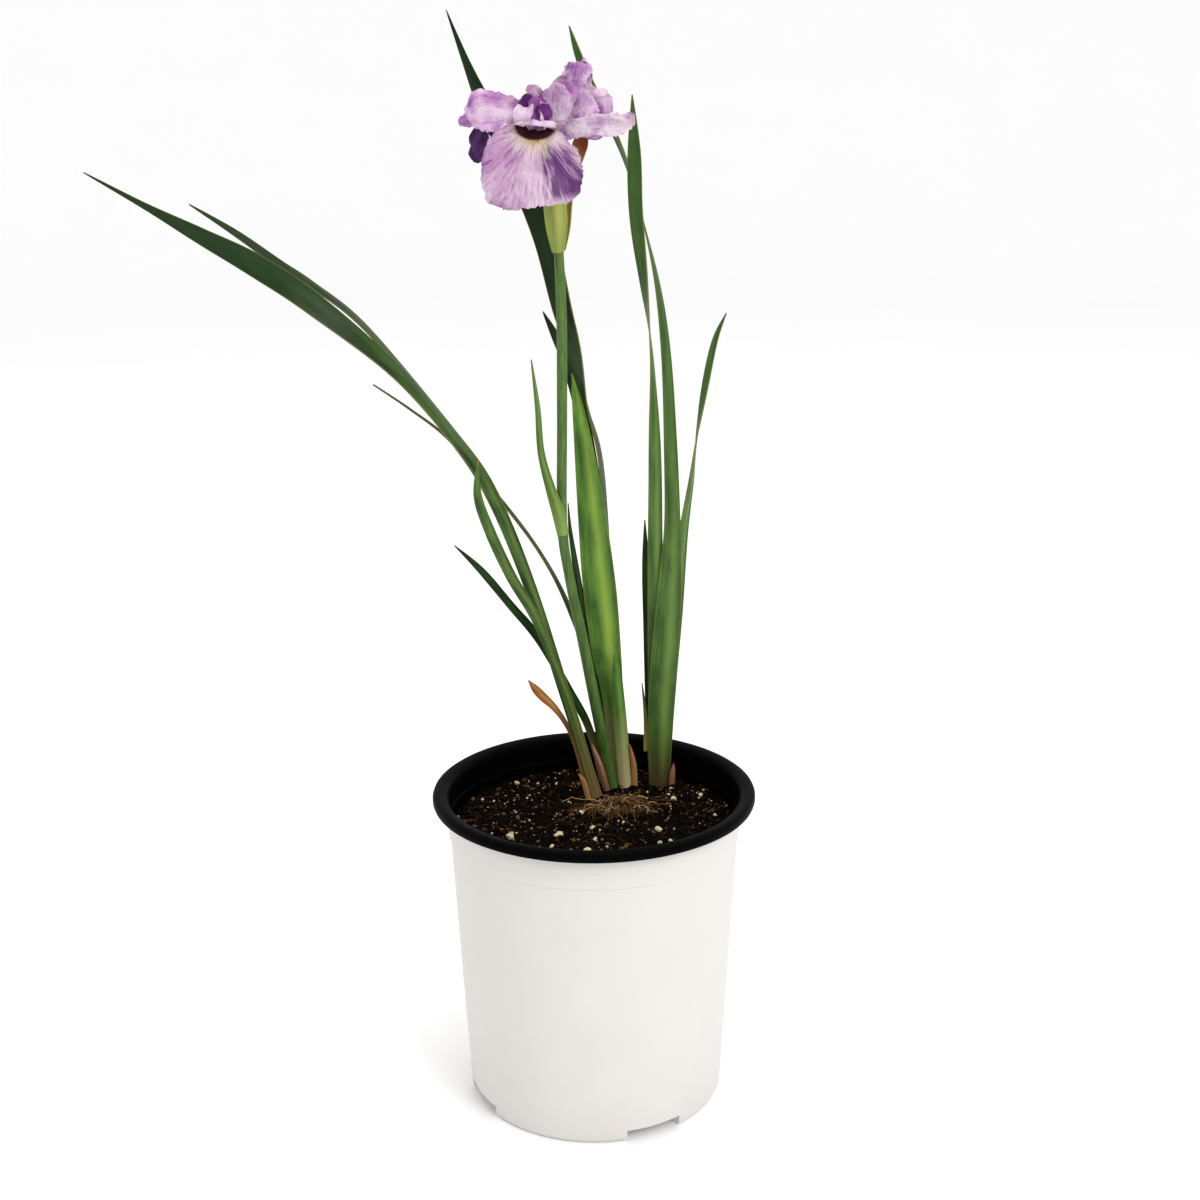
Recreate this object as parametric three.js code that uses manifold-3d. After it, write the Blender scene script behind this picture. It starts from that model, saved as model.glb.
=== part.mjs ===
// A potted iris: a coextruded nursery pot, potting mix with a mat of fibrous roots, three fans
// of sword-shaped leaves, and one flower on a leafy stalk.
// Millimetres, +Z up, origin at the centre of the circle that the pot stands on.
// The front of the plant, where its flower faces, is -Y.
import * as THREE from "three";
import { mergeVertices } from "three/addons/utils/BufferGeometryUtils.js";
import Module from "manifold-3d";

const wasm = await Module();
wasm.setup();

// ---------------------------------------------------------------- driving dimensions

const POT_HEIGHT = 165;
const RIM_RADIUS = 82.5;
const RIM_DEPTH = 5.5; // height of the rolled lip
const MOUTH_RADIUS = 75.6; // outside of the wall just under the lip
const FOOT_RADIUS = 66.6; // outside of the wall just above the foot
const WALL = 1.5;
const COLLAR_STEPS = [151, 142.5]; // heights of the two small steps under the lip
const STEP_DEPTH = 0.8;
const NOTCHES = 4; // drain notches round the foot
const NOTCH_HEIGHT = 6;
const NOTCH_REACH = 20; // how far a notch runs in under the pot
const NOTCH_ANGLE = 26; // degrees round the foot taken by one notch
const NOTCH_START = -64; // middle of the first notch, in degrees from +X
const DRAIN_RADIUS = 4;
const ROUND_SEGMENTS = 64;

const SOIL_LEVEL = 146.4;
const SOIL_GAP = 0.5; // between the mix and the pot
const LEAF_BASE = 147.3; // where the leaves leave the crown

const STALK_TOP = 433.6;

// ---------------------------------------------------------------- materials

const finish = (color, roughness) => new THREE.MeshStandardMaterial({ color, roughness, metalness: 0 });
const POT_WHITE = finish(0xe9e7e4, 0.45);
const SOIL_BROWN = finish(0x2b1f17, 0.95);
const ROOT_BROWN = finish(0x7a5c40, 0.9);
const LEAF_GREEN = finish(0x3d6b2c, 0.5);
const SHADE_GREEN = finish(0x24461c, 0.5);
const DRY_BROWN = finish(0xa87a48, 0.8);
const STALK_GREEN = finish(0x6f8f4e, 0.5);
const BRACT_GREEN = finish(0xb9c06a, 0.6);
const PETAL_LILAC = finish(0xcda6d6, 0.55);
const STYLE_LILAC = finish(0xd9c0e4, 0.55);

// ---------------------------------------------------------------- closed surfaces

// Joins rings of points, all of the same even length, into one closed geometry with flat ends.
// Both halves of a ring are split along matching diagonals, so a twisted blade keeps its thickness.
function loft(rings) {
  const count = rings[0].length;
  const points = rings.flat();
  const faces = [];
  for (let i = 0; i + 1 < rings.length; i++)
    for (let j = 0; j < count; j++) {
      const a = i * count + j;
      const b = i * count + ((j + 1) % count);
      if (j < count / 2) faces.push(a, b, b + count, a, b + count, a + count);
      else faces.push(a, b, a + count, b, b + count, a + count);
    }
  const last = (rings.length - 1) * count;
  const closeEnds = (p, q, r) => {
    if (p !== q && q !== r && r !== p) faces.push(p, r, q, last + p, last + q, last + r);
  };
  for (let j = 0; j < count / 2; j++) {
    closeEnds(j, j + 1, count - j - 1);
    closeEnds(j, count - j - 1, (count - j) % count);
  }
  return new THREE.BufferGeometry().setFromPoints(points).setIndex(faces);
}

// Values between rows of numbers, smooth from row to row: 0 is the first row and 1 the last.
function rowAt(rows, t) {
  const place = t * (rows.length - 1);
  const i = Math.min(Math.floor(place), rows.length - 2);
  const [before, from, to, after] = [i - 1, i, i + 1, i + 2].map(
    (k) => rows[THREE.MathUtils.clamp(k, 0, rows.length - 1)],
  );
  const s = place - i;
  return from.map((p, k) => {
    const q = to[k];
    const [m, n] = [(q - before[k]) / 2, (after[k] - p) / 2];
    return p + s * (m + s * (3 * (q - p) - 2 * m - n + s * (2 * (p - q) + m + n)));
  });
}

// Half of a section, from one edge to the other: place across and share of the thickness.
const ACROSS = [-1, -0.5, 0, 0.5, 1];
const FULLNESS = [0, 0.8, 1, 0.8, 0];

// One section of a blade: a thin lens round centre, cup mm hollow, lying along side.
function lens(centre, side, normal, width, thickness, cup) {
  const at = (k, up) =>
    centre
      .clone()
      .addScaledVector(side, (ACROSS[k] * width) / 2)
      .addScaledVector(normal, cup * ACROSS[k] ** 2 + (up * FULLNESS[k] * thickness) / 2);
  return [at(0, 0), at(1, -1), at(2, -1), at(3, -1), at(4, 0), at(3, 1), at(2, 1), at(1, 1)];
}

const SPAN_STEPS = 2; // sections in each span between two rows of a blade
const BASE_THICKNESS = 1.2;
const TIP_THICKNESS = 0.4;
const TIP_WIDTH = 0.5;

// A leaf, bract or scale from rows of [x, y, z, width, turn, cup].
// A blade with turn 0 faces -Y, and turn is in degrees.
function blade(rows, thickness = BASE_THICKNESS) {
  const steps = (rows.length - 1) * SPAN_STEPS;
  const full = rows.map((row) => [...row, 0].slice(0, 6));
  const rings = [];
  for (let i = 0; i <= steps; i++) {
    const t = i / steps;
    const [x, y, z, width, turn, cup] = rowAt(full, t);
    const [before, after] = [rowAt(full, Math.max(t - 0.01, 0)), rowAt(full, Math.min(t + 0.01, 1))];
    const along = new THREE.Vector3(...after.slice(0, 3)).sub(new THREE.Vector3(...before.slice(0, 3)));
    along.normalize();
    const side = new THREE.Vector3(0, 1, 0).cross(along).normalize();
    side.applyAxisAngle(along, THREE.MathUtils.degToRad(turn));
    const normal = along.clone().cross(side);
    const depth = THREE.MathUtils.lerp(thickness, TIP_THICKNESS, t);
    rings.push(lens(new THREE.Vector3(x, y, z), side, normal, Math.max(width, TIP_WIDTH), depth, cup));
  }
  return loft(rings);
}

// A petal from rows of [x, y, z, width, turn, cup], whose width points along wide.
function petal(wide, rows, thickness = 0.9) {
  const steps = (rows.length - 1) * SPAN_STEPS;
  const full = rows.map((row) => [...row, 0, 0].slice(0, 6));
  const rings = [];
  for (let i = 0; i <= steps; i++) {
    const t = i / steps;
    const [x, y, z, width, turn, cup] = rowAt(full, t);
    const [before, after] = [rowAt(full, Math.max(t - 0.01, 0)), rowAt(full, Math.min(t + 0.01, 1))];
    const along = new THREE.Vector3(...after.slice(0, 3)).sub(new THREE.Vector3(...before.slice(0, 3)));
    along.normalize();
    const side = wide.clone().addScaledVector(along, -along.dot(wide)).normalize();
    side.applyAxisAngle(along, THREE.MathUtils.degToRad(turn));
    const depth = THREE.MathUtils.lerp(thickness, TIP_THICKNESS, t);
    rings.push(lens(new THREE.Vector3(x, y, z), side, along.clone().cross(side), width, depth, cup));
  }
  return loft(rings);
}

// A round stalk through rows of [x, y, z, radius].
function stalk(rows, sides = 10) {
  const steps = (rows.length - 1) * SPAN_STEPS;
  const rings = [];
  for (let i = 0; i <= steps; i++) {
    const [x, y, z, radius] = rowAt(rows, i / steps);
    const ring = [];
    for (let j = 0; j < sides; j++) {
      const angle = (2 * Math.PI * j) / sides;
      ring.push(new THREE.Vector3(x + radius * Math.cos(angle), y + radius * Math.sin(angle), z));
    }
    rings.push(ring);
  }
  return loft(rings);
}

function turned(profile, segments = ROUND_SEGMENTS) {
  const points = profile.map(([r, z]) => new THREE.Vector2(r, z));
  return new THREE.LatheGeometry(points, segments).rotateX(Math.PI / 2);
}

// ---------------------------------------------------------------- solids to join and cut

function solid(geometry) {
  const bare = new THREE.BufferGeometry().setAttribute("position", geometry.getAttribute("position"));
  bare.setIndex(geometry.index);
  const merged = mergeVertices(bare, 1e-3);
  return new wasm.Manifold(
    new wasm.Mesh({
      numProp: 3,
      vertProperties: merged.attributes.position.array,
      triVerts: new Uint32Array(merged.index.array),
    }),
  );
}

function geometryOf(manifold) {
  const mesh = manifold.getMesh();
  return new THREE.BufferGeometry()
    .setAttribute("position", new THREE.BufferAttribute(mesh.vertProperties, 3))
    .setIndex(new THREE.BufferAttribute(mesh.triVerts, 1));
}

// ---------------------------------------------------------------- pot

// The outside of the wall at a height, without the lip and the collar's steps.
const wallRadius = (z) =>
  THREE.MathUtils.lerp(FOOT_RADIUS, MOUTH_RADIUS - 2 * STEP_DEPTH, z / COLLAR_STEPS[1]);

// The form of the pot, moved in by inset, from the middle of its floor up to top.
function potForm(inset, top) {
  const [upper, lower] = COLLAR_STEPS;
  return [
    [0, inset],
    [FOOT_RADIUS - 2.2 - inset, inset],
    [FOOT_RADIUS - 0.6 - inset, inset + 0.7],
    [FOOT_RADIUS - inset, inset + 2.4],
    [wallRadius(lower) - inset, lower],
    [MOUTH_RADIUS - STEP_DEPTH - inset, lower + 1],
    [MOUTH_RADIUS - STEP_DEPTH - inset, upper],
    [MOUTH_RADIUS - inset, upper + 1],
    [MOUTH_RADIUS - inset, top],
    [0, top],
  ];
}

// The wedges that lift the foot into drain notches, from below up to height.
// They are larger than a notch by spare all round.
function notchWedges(height, spare) {
  const half = NOTCH_ANGLE / 2 + THREE.MathUtils.radToDeg(spare / (FOOT_RADIUS - NOTCH_REACH));
  const inner = FOOT_RADIUS - NOTCH_REACH - spare;
  const outer = FOOT_RADIUS + 6;
  const wedges = [];
  for (let i = 0; i < NOTCHES; i++) {
    const middle = NOTCH_START + (360 / NOTCHES) * i;
    const [from, to] = [middle - half, middle + half].map(THREE.MathUtils.degToRad);
    const shape = new THREE.Shape();
    shape.absarc(0, 0, outer, from, to, false);
    shape.absarc(0, 0, inner, to, from, true);
    const below = 2;
    const settings = { depth: height + below, bevelEnabled: false, curveSegments: 6 };
    const wedge = new THREE.ExtrudeGeometry(shape, settings);
    wedges.push(solid(wedge.translate(0, 0, -below)));
  }
  return wedges;
}

function drainHoles() {
  const holes = [];
  const reach = FOOT_RADIUS - NOTCH_REACH / 2 - 2;
  for (let i = 0; i < NOTCHES; i++) {
    const angle = THREE.MathUtils.degToRad(NOTCH_START + (360 / NOTCHES) * i);
    const hole = new THREE.CylinderGeometry(DRAIN_RADIUS, DRAIN_RADIUS, 6, 16).rotateX(Math.PI / 2);
    hole.translate(reach * Math.cos(angle), reach * Math.sin(angle), NOTCH_HEIGHT + WALL / 2);
    holes.push(solid(hole));
  }
  return holes;
}

function potGeometry() {
  const lip = [
    [MOUTH_RADIUS - WALL, POT_HEIGHT - RIM_DEPTH],
    [RIM_RADIUS - 1.2, POT_HEIGHT - RIM_DEPTH],
    [RIM_RADIUS, POT_HEIGHT - RIM_DEPTH + 1.2],
    [RIM_RADIUS, POT_HEIGHT - 1.6],
    [RIM_RADIUS - 1.4, POT_HEIGHT - 0.2],
    [RIM_RADIUS - 3, POT_HEIGHT],
    [MOUTH_RADIUS + 0.6, POT_HEIGHT - 0.6],
    [MOUTH_RADIUS - WALL, POT_HEIGHT - 2.4],
    [MOUTH_RADIUS - WALL, POT_HEIGHT - RIM_DEPTH],
  ];
  let outside = solid(turned(potForm(0, POT_HEIGHT - 2)));
  let inside = solid(turned(potForm(WALL, POT_HEIGHT + 1)));
  for (const wedge of notchWedges(NOTCH_HEIGHT, 0)) outside = outside.subtract(wedge);
  for (const wedge of notchWedges(NOTCH_HEIGHT + WALL, WALL)) inside = inside.subtract(wedge);
  let pot = outside.subtract(inside).add(solid(turned(lip)));
  for (const hole of drainHoles()) pot = pot.subtract(hole);
  return geometryOf(pot);
}

// ---------------------------------------------------------------- potting mix and roots

// How far the top of the mix stands above SOIL_LEVEL.
function soilBump(x, y) {
  const hollow = -4.5 * Math.exp(-((x + 17) ** 2 + (y - 30) ** 2) / 170);
  const heap = 3 * Math.exp(-((x - 48) ** 2 + (y - 22) ** 2) / 380);
  const lumps = 0.7 * Math.sin(x / 5.3 + 1) * Math.sin(y / 6.1) + 0.5 * Math.sin((x + y) / 3.7);
  const calm = 1 - Math.exp(-((x - 15) ** 2 + (y - 40) ** 2) / 900);
  return (hollow + heap + lumps) * calm;
}

function mixGeometry() {
  const profile = potForm(WALL + SOIL_GAP, SOIL_LEVEL).slice(0, 5);
  const edge = MOUTH_RADIUS - STEP_DEPTH - WALL - SOIL_GAP;
  profile.push([edge, COLLAR_STEPS[1] + 1], [edge, SOIL_LEVEL]);
  const rings = 9;
  for (let i = rings - 1; i >= 0; i--) profile.push([(edge * i) / rings, SOIL_LEVEL]);
  let mix = turned(profile, 40);
  const position = mix.getAttribute("position");
  for (let i = 0; i < position.count; i++) {
    const [x, y, z] = [position.getX(i), position.getY(i), position.getZ(i)];
    if (z > SOIL_LEVEL - 0.1) position.setZ(i, z + soilBump(x, y));
  }
  let made = solid(mix);
  const clear = WALL + SOIL_GAP;
  for (const wedge of notchWedges(NOTCH_HEIGHT + clear, clear)) made = made.subtract(wedge);
  return geometryOf(made);
}

const MAT_CENTRE = [13, 12];
const MAT_REACH = [20, 18];
const MAT_HEIGHT = 9.6;
const MAT_LIFT = 1.2; // clears the lumps of the mix

// The mat of old roots in front of the fans: a low lumpy dome that lies on the mix.
function rootMatGeometry() {
  const profile = [[0, 0], [0.5, 0], [1, 0.08], [0.9, 0.45], [0.65, 0.8], [0.35, 0.97], [0, 1]];
  const mat = turned(profile, 20);
  mat.scale(MAT_REACH[0], MAT_REACH[1], MAT_HEIGHT);
  const position = mat.getAttribute("position");
  for (let i = 0; i < position.count; i++) {
    const [x, y, z] = [position.getX(i), position.getY(i), position.getZ(i)];
    const lump = 1 + 0.12 * Math.sin(x / 2.3) * Math.cos(y / 2.9);
    position.setXYZ(i, x * lump, y * lump, z);
  }
  return mat.translate(MAT_CENTRE[0], MAT_CENTRE[1], SOIL_LEVEL + MAT_LIFT);
}

// ---------------------------------------------------------------- leaves
// Each row of a leaf is [x, y, z, width, turn, cup], from the crown to the tip.

const LEFT_FAN = {
  left_long_leaf: [
    [2, 31, LEAF_BASE, 5.6, 0], [-14, 29, 203, 5.8, 0], [-31, 26, 262, 6.2, 15], [-48, 22, 309, 7.5, 40],
    [-66, 18, 340, 8.5, 71], [-94, 14, 376, 9.5, 60], [-132, 7, 410, 11, 24], [-157, 3, 428, 11, 10],
    [-181, -1, 442, 7.6, 5], [-205, -5, 456, 3, 0], [-230, -10, 471, 0.5, 0],
  ],
  left_slender_leaf: [
    [2, 32.8, LEAF_BASE, 5, 0], [-14, 31.2, 203, 5, 0], [-31, 28.6, 261, 5.4, 10], [-49, 26, 312, 6, 45],
    [-69, 24, 346, 7, 77], [-108, 19, 396, 6.6, 78], [-133, 16, 418, 5.8, 70], [-148, 15, 428, 4.6, 45],
    [-168, 12, 443, 3.2, 30], [-188, 10, 456, 0.5, 30],
  ],
  left_short_leaf: [
    [2, 29.2, LEAF_BASE, 5, 0], [-12, 25.5, 200, 4.8, 0], [-27, 19.5, 245, 4.8, 5],
    [-41, 12.5, 274, 5.4, 8], [-51, 8, 299, 5.3, 10], [-56, 5, 317, 4, 10], [-55, 2, 335, 0.5, 0],
  ],
  left_outer_leaf: [
    [-2.5, 34.6, LEAF_BASE, 3.4, 0], [-9, 33.5, 174, 3, 10], [-14, 32, 187, 2.6, 30],
    [-20, 30, 197, 3.4, 25], [-26, 28, 204, 4.6, 10], [-30, 27, 209, 4, 0], [-33.5, 26, 214, 0.5, 0],
  ],
};

const MIDDLE_FAN = {
  broad_leaf: [
    [14, 47.6, LEAF_BASE, 8, 0], [11, 48, 195, 11, 0], [7.5, 48.4, 223, 15.6, 0], [4, 49, 258, 17.5, 0],
    [0, 50, 299, 14.2, 0], [-4, 51, 335, 9.3, 0], [-7, 52, 356, 5, 0], [-9.5, 52.6, 370, 0.5, 0],
  ],
  stalk_leaf: [
    [10.5, 49.6, LEAF_BASE + 4, 3.4, 0], [5, 49.9, 196, 4.2, 0], [-3, 49.9, 234, 4, 0],
    [-8, 49.6, 266, 3.4, 10], [-11, 49.6, 288, 2, 10], [-12, 49.4, 303, 0.5, 0],
  ],
  tall_leaf: [
    [15, 51.2, LEAF_BASE, 5.6, 0], [12, 53, 215, 7, 40], [8.5, 55, 272, 9, 68], [5, 56, 325, 10, 80],
    [-1.5, 57, 352, 10.4, 92], [-8, 58, 380, 11, 128], [-14, 59, 402, 11.4, 152],
    [-22, 61, 436, 12, 165], [-34, 62, 467, 11.6, 175], [-51, 64, 501, 7.6, 180],
    [-60, 65, 522, 3.8, 180], [-69, 66, 546, 0.5, 180],
  ],
  back_leaf: [
    [14, 54.6, LEAF_BASE, 5.4, 0], [9, 58, 222, 5.4, 0], [4, 62, 293, 6, 0], [-3, 64, 340, 6.8, 0],
    [-11, 65, 371, 5.6, 0], [-18, 65.5, 388, 4.2, 0], [-24, 66, 400, 0.5, 0],
  ],
  trailing_leaf: [
    [11, 53, LEAF_BASE, 4.4, 0], [3, 53, 200, 4.2, 30], [-12, 48, 247, 4.4, 62], [-27, 41, 279, 4, 79],
    [-48, 37, 310, 3.6, 80], [-71, 34, 339, 2.8, 78], [-90, 32, 355, 1.4, 76], [-108, 30, 368, 0.5, 70],
  ],
  crossing_leaf: [
    [5.5, 47.2, LEAF_BASE + 1, 3.4, 0], [-2, 44.5, 180, 4.2, 20], [-13, 41, 204, 4.4, 10],
    [-28, 37, 233, 4.5, 10], [-42, 34, 252, 4.2, 32], [-57, 31, 272, 3.6, 12], [-70, 28, 286, 0.5, 0],
  ],
  low_sheath: [
    [17.5, 42.6, LEAF_BASE, 6.4, 0, 1], [15.6, 42.4, 172, 6.8, 0, 1], [13.8, 42.6, 196, 6.4, 0, 0.8],
    [12.8, 43.2, 212, 4.8, 0, 0.3], [11.6, 44, 222, 0.5, 0],
  ],
};

const RIGHT_FAN = {
  right_front_leaf: [
    [36, 43, LEAF_BASE, 10.4, 0, 0.6], [36.5, 43, 185, 13.4, 0, 0.6], [38.5, 43, 222, 14.4, 0, 0.3],
    [41, 43.2, 262, 12, 0], [42, 44.5, 294, 8.4, 0], [41, 48, 333, 7, 8], [39, 52, 375, 5.8, 30],
    [35, 54.5, 411, 5.2, 60], [28.5, 57, 440, 4.9, 82], [17, 59, 478, 5, 112], [-2, 61, 518, 4.6, 145],
    [-9, 62, 538, 0.5, 160],
  ],
  right_tall_leaf: [
    [34.5, 45.2, LEAF_BASE, 8.6, 0], [34, 45.3, 206, 8.8, 1], [33.2, 45.2, 268, 8, 2],
    [33, 44.6, 320, 7.2, 22], [32, 43, 363, 7, 62], [30, 42, 389, 6.7, 86], [27, 41, 417, 6.6, 125],
    [23, 40, 449, 7, 158], [22, 39, 478, 6.5, 172], [21, 38, 505, 0.5, 180],
  ],
  right_leaning_leaf: [
    [37, 49, LEAF_BASE, 6.4, 0], [40, 49, 196, 8.4, 0], [44, 48.8, 241, 8, 10], [48, 48, 287, 6.8, 44],
    [52, 45, 317, 5.8, 66], [54.5, 41, 342, 5, 92], [58, 36, 368, 4.4, 130], [62, 32, 389, 3, 150],
    [67, 30, 402, 0.5, 160],
  ],
  right_back_leaf: [
    [32.6, 50.8, LEAF_BASE, 4, 0], [31, 51, 185, 4.6, 0], [29.6, 51.4, 230, 4.4, 0],
    [28.6, 52, 268, 4, 0], [28, 52.4, 293, 0.5, 0],
  ],
};

// Small dry scales round the feet of the fans.
const SCALES = {
  left_scale: [
    [-2.4, 27, LEAF_BASE + 0.4, 3, 20, 0.8], [-5, 25.6, 157, 2.6, 20, 0.6], [-8, 25, 162, 0.5, 30],
  ],
  pink_scale: [
    [7, 38.4, LEAF_BASE + 0.4, 3.6, -10, 0.8], [3.6, 38, 161, 3.4, -10, 0.6], [-0.6, 38, 174, 0.5, 0],
  ],
  pale_scale: [
    [22.6, 42.6, LEAF_BASE + 0.4, 3.2, 10, 0.8], [22, 42.4, 160, 2.8, 10, 0.6], [19.6, 42.2, 172, 0.5, 0],
  ],
  right_scale: [
    [42.6, 41.6, LEAF_BASE + 0.4, 3, 10, 0.8], [43, 41.4, 155, 2.6, 10, 0.6], [43.4, 41.4, 161, 0.5, 0],
  ],
  side_scale: [
    [28.6, 46.8, 166, 2.4, 0], [28.4, 46.8, 186, 2.2, 0], [26.4, 46.8, 205, 0.5, 0],
  ],
};

// ---------------------------------------------------------------- stalk, bracts and flower

const STALK = [
  [10.4, 43, LEAF_BASE, 3], [1, 40, 198, 3], [-4.5, 38, 229, 2.9], [-12, 36, 269, 2.6],
  [-15, 34, 296, 2.6], [-14.4, 30, 350, 2.6], [-14, 27, 399, 2.6], [-15, 24, STALK_TOP, 2.4],
];

// The ovary and the tube of the flower, between the bracts.
const TUBE = [
  [-15, 24, STALK_TOP + 0.3, 2.3], [-16, 23.2, 446, 2.7], [-18.6, 21.8, 462, 2.2], [-22, 20, 480, 2.8],
];

const STALK_BRACT = [
  [-14.6, 30, 290, 5.4, 0, 2], [-16.8, 29.2, 302, 6.4, 0, 1.4], [-20.6, 28, 315, 5, 0, 0.4],
  [-25, 26, 334, 3.6, 0], [-26.4, 24, 357, 2.6, 0], [-29, 20, 381, 0.5, 0],
];

const BRACTS = {
  front_bract: [
    [-15.3, 19.9, 432, 5.6, -6, 1.4], [-16, 18.4, 443, 10, -6, 2.8], [-16.8, 17.4, 455, 10.8, -6, 3],
    [-18.4, 15.8, 467, 7.6, -6, 1.8], [-19.8, 14.6, 477, 1.6, -6, 0.2],
  ],
  back_bract: [
    [-14.4, 28.2, 433, 5.6, 172, 1.4], [-13.6, 29, 444, 9.6, 168, 2.6], [-12.2, 28.8, 457, 10, 164, 2.6],
    [-8.6, 27.4, 469, 8, 160, 1.6], [-5, 26.4, 477, 5, 160, 0.6], [-2.4, 26, 483, 0.8, 160, 0],
  ],
};

// Each petal has the way its width points, and rows of [x, y, z, width, turn, cup] from its claw to its tip.
const ACROSS_FRONT = new THREE.Vector3(1, 0, 0);
const UPWARDS = new THREE.Vector3(0, 0.2, 1);

const FALLS = {
  front_fall: [ACROSS_FRONT, [
    [-23, 18.6, 483.4, 5], [-24.2, 18, 488, 9, 0, 0.5], [-25, 14.6, 487.8, 19, 0, 2],
    [-26.3, 10.5, 485, 31, 0, 3], [-27.4, 6.5, 481.5, 40, 0, 2], [-27.4, 4, 476.5, 44.5, 0, 0.5],
    [-26.8, 2.5, 470.5, 47, 0, -0.5], [-25.8, 1.4, 464, 46.5, 0, -1.5], [-24.8, 0.6, 458.5, 42, 0, -1.5],
    [-24.2, 0.2, 454, 28, 0, -1],
  ]],
  left_fall: [new THREE.Vector3(0.85, -0.5, 0.1), [
    [-25.6, 23.6, 483, 4], [-29.5, 25.5, 487.5, 6], [-38, 27, 490.5, 10, 0, 1], [-46, 28.5, 490, 13, 0, 1],
    [-51, 28.5, 487, 13.5], [-52.6, 28, 482, 12], [-52.6, 27.5, 478, 10], [-51.4, 27, 474.6, 5],
  ]],
  right_fall: [new THREE.Vector3(0.1, 0.35, 1), [
    [-18.4, 20.8, 483, 3.6], [-14.6, 19.8, 487, 5.5], [-9, 18.6, 488.8, 8, 0, 0.5], [-2, 18.5, 490, 9, 0, 1],
    [5, 19.6, 491, 12, 0, 1.6], [11, 20.6, 491.4, 14, 0, 2], [15.6, 21.8, 492, 13.5, 0, 1],
    [18.4, 22.5, 493.6, 9], [19.6, 23, 495.6, 4],
  ]],
};

const STANDARDS = {
  left_standard: [UPWARDS, [
    [-25.8, 20.8, 484, 3.6], [-28.6, 21, 490, 5], [-32, 20, 495.5, 10], [-38, 18.5, 497.5, 14.5, 0, -0.5],
    [-44, 17.5, 497, 19, 0, -1], [-49.5, 17, 496.3, 19, 0, -1], [-53.6, 17, 494.4, 14], [-56, 17, 492.8, 6],
  ]],
  right_standard: [ACROSS_FRONT, [
    [-18.4, 23.6, 483, 4], [-14.6, 23.8, 487.4, 11], [-11, 25.2, 492, 25, 0, -1], [-6, 27, 497.5, 35, 0, -1],
    [-6, 28.5, 503, 31, 0, -1], [-6.4, 29.5, 508, 24], [-5.6, 30.3, 512, 15], [-5, 30.5, 515.5, 12],
    [-4.6, 29, 518.5, 12.5], [-4.4, 26.6, 518, 10],
  ]],
  back_standard: [ACROSS_FRONT, [
    [-22, 25.4, 483, 4], [-24, 27.4, 489, 5], [-24, 31, 495, 14, 0, 1], [-24.4, 35.6, 500, 22, 0, 1],
    [-25, 41, 502, 24, 0, 1], [-25.5, 47, 499, 18], [-25.7, 50.5, 495, 8],
  ]],
};

const STYLES = {
  front_style: [ACROSS_FRONT, [
    [-24.2, 20, 490.6, 4], [-24.5, 17.6, 492.6, 9], [-24.6, 13, 493.2, 14, 0, -0.5],
    [-24.8, 9.5, 492.8, 18, 0, -0.8], [-24.9, 7, 492, 19.5, 0, -0.8], [-25, 6, 490.6, 18.5],
  ]],
  left_style: [new THREE.Vector3(0, 1, 0), [
    [-28, 24.6, 491.5, 3], [-32, 25.6, 493.5, 5], [-36, 27, 494.5, 7], [-40, 28.5, 493.5, 4],
  ]],
  right_style: [new THREE.Vector3(0.5, 0.86, 0), [
    [-17.4, 14.6, 491, 3.4], [-14, 13, 492.4, 5], [-9.5, 11, 493.2, 7], [-5, 8.6, 492.4, 4.5],
  ]],
};

const CRESTS = {
  front_left_crest: [ACROSS_FRONT, [
    [-27.4, 19.2, 494, 4], [-27.8, 18.8, 498, 6], [-28, 19, 501.6, 6], [-28, 19.4, 505, 2.4],
  ]],
  front_right_crest: [ACROSS_FRONT, [
    [-21.2, 19.2, 494, 4], [-20.8, 18.9, 496.6, 6.6], [-20.6, 19.2, 500.6, 2.6],
  ]],
};

// ---------------------------------------------------------------- assembly

const iris = new THREE.Group();

function addMesh(name, geometry, material) {
  const mesh = new THREE.Mesh(geometry, material);
  mesh.name = name;
  iris.add(mesh);
}

function addBlades(blades, material, thickness) {
  for (const [name, rows] of Object.entries(blades)) addMesh(name, blade(rows, thickness), material);
}

function addPetals(petals, material) {
  for (const [name, [wide, rows]] of Object.entries(petals)) addMesh(name, petal(wide, rows), material);
}

addMesh("pot", potGeometry(), POT_WHITE);
addMesh("potting_mix", mixGeometry(), SOIL_BROWN);
addMesh("root_mat", rootMatGeometry(), ROOT_BROWN);

addBlades(LEFT_FAN, LEAF_GREEN);
addBlades(MIDDLE_FAN, LEAF_GREEN);
addBlades(RIGHT_FAN, LEAF_GREEN);
addBlades(SCALES, DRY_BROWN, 0.8);

addMesh("flower_stalk", stalk(STALK), STALK_GREEN);
addMesh("stalk_bract", blade(STALK_BRACT, 0.8), STALK_GREEN);
addMesh("flower_tube", stalk(TUBE), BRACT_GREEN);
addBlades(BRACTS, BRACT_GREEN, 0.7);

addPetals(FALLS, PETAL_LILAC);
addPetals(STANDARDS, PETAL_LILAC);
addPetals(STYLES, STYLE_LILAC);
addPetals(CRESTS, STYLE_LILAC);

iris.getObjectByName("left_outer_leaf").material = DRY_BROWN;
iris.getObjectByName("crossing_leaf").material = SHADE_GREEN;

export default iris;
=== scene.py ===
# %% [markdown]
# # A potted iris
# The imported model is the frame: every piece below is put where that model says, in metres, with +Z up
# and the flower facing -Y.

# %% Load the frame
import math

import bpy
import numpy as np
from mathutils import Matrix, Vector, noise


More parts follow.
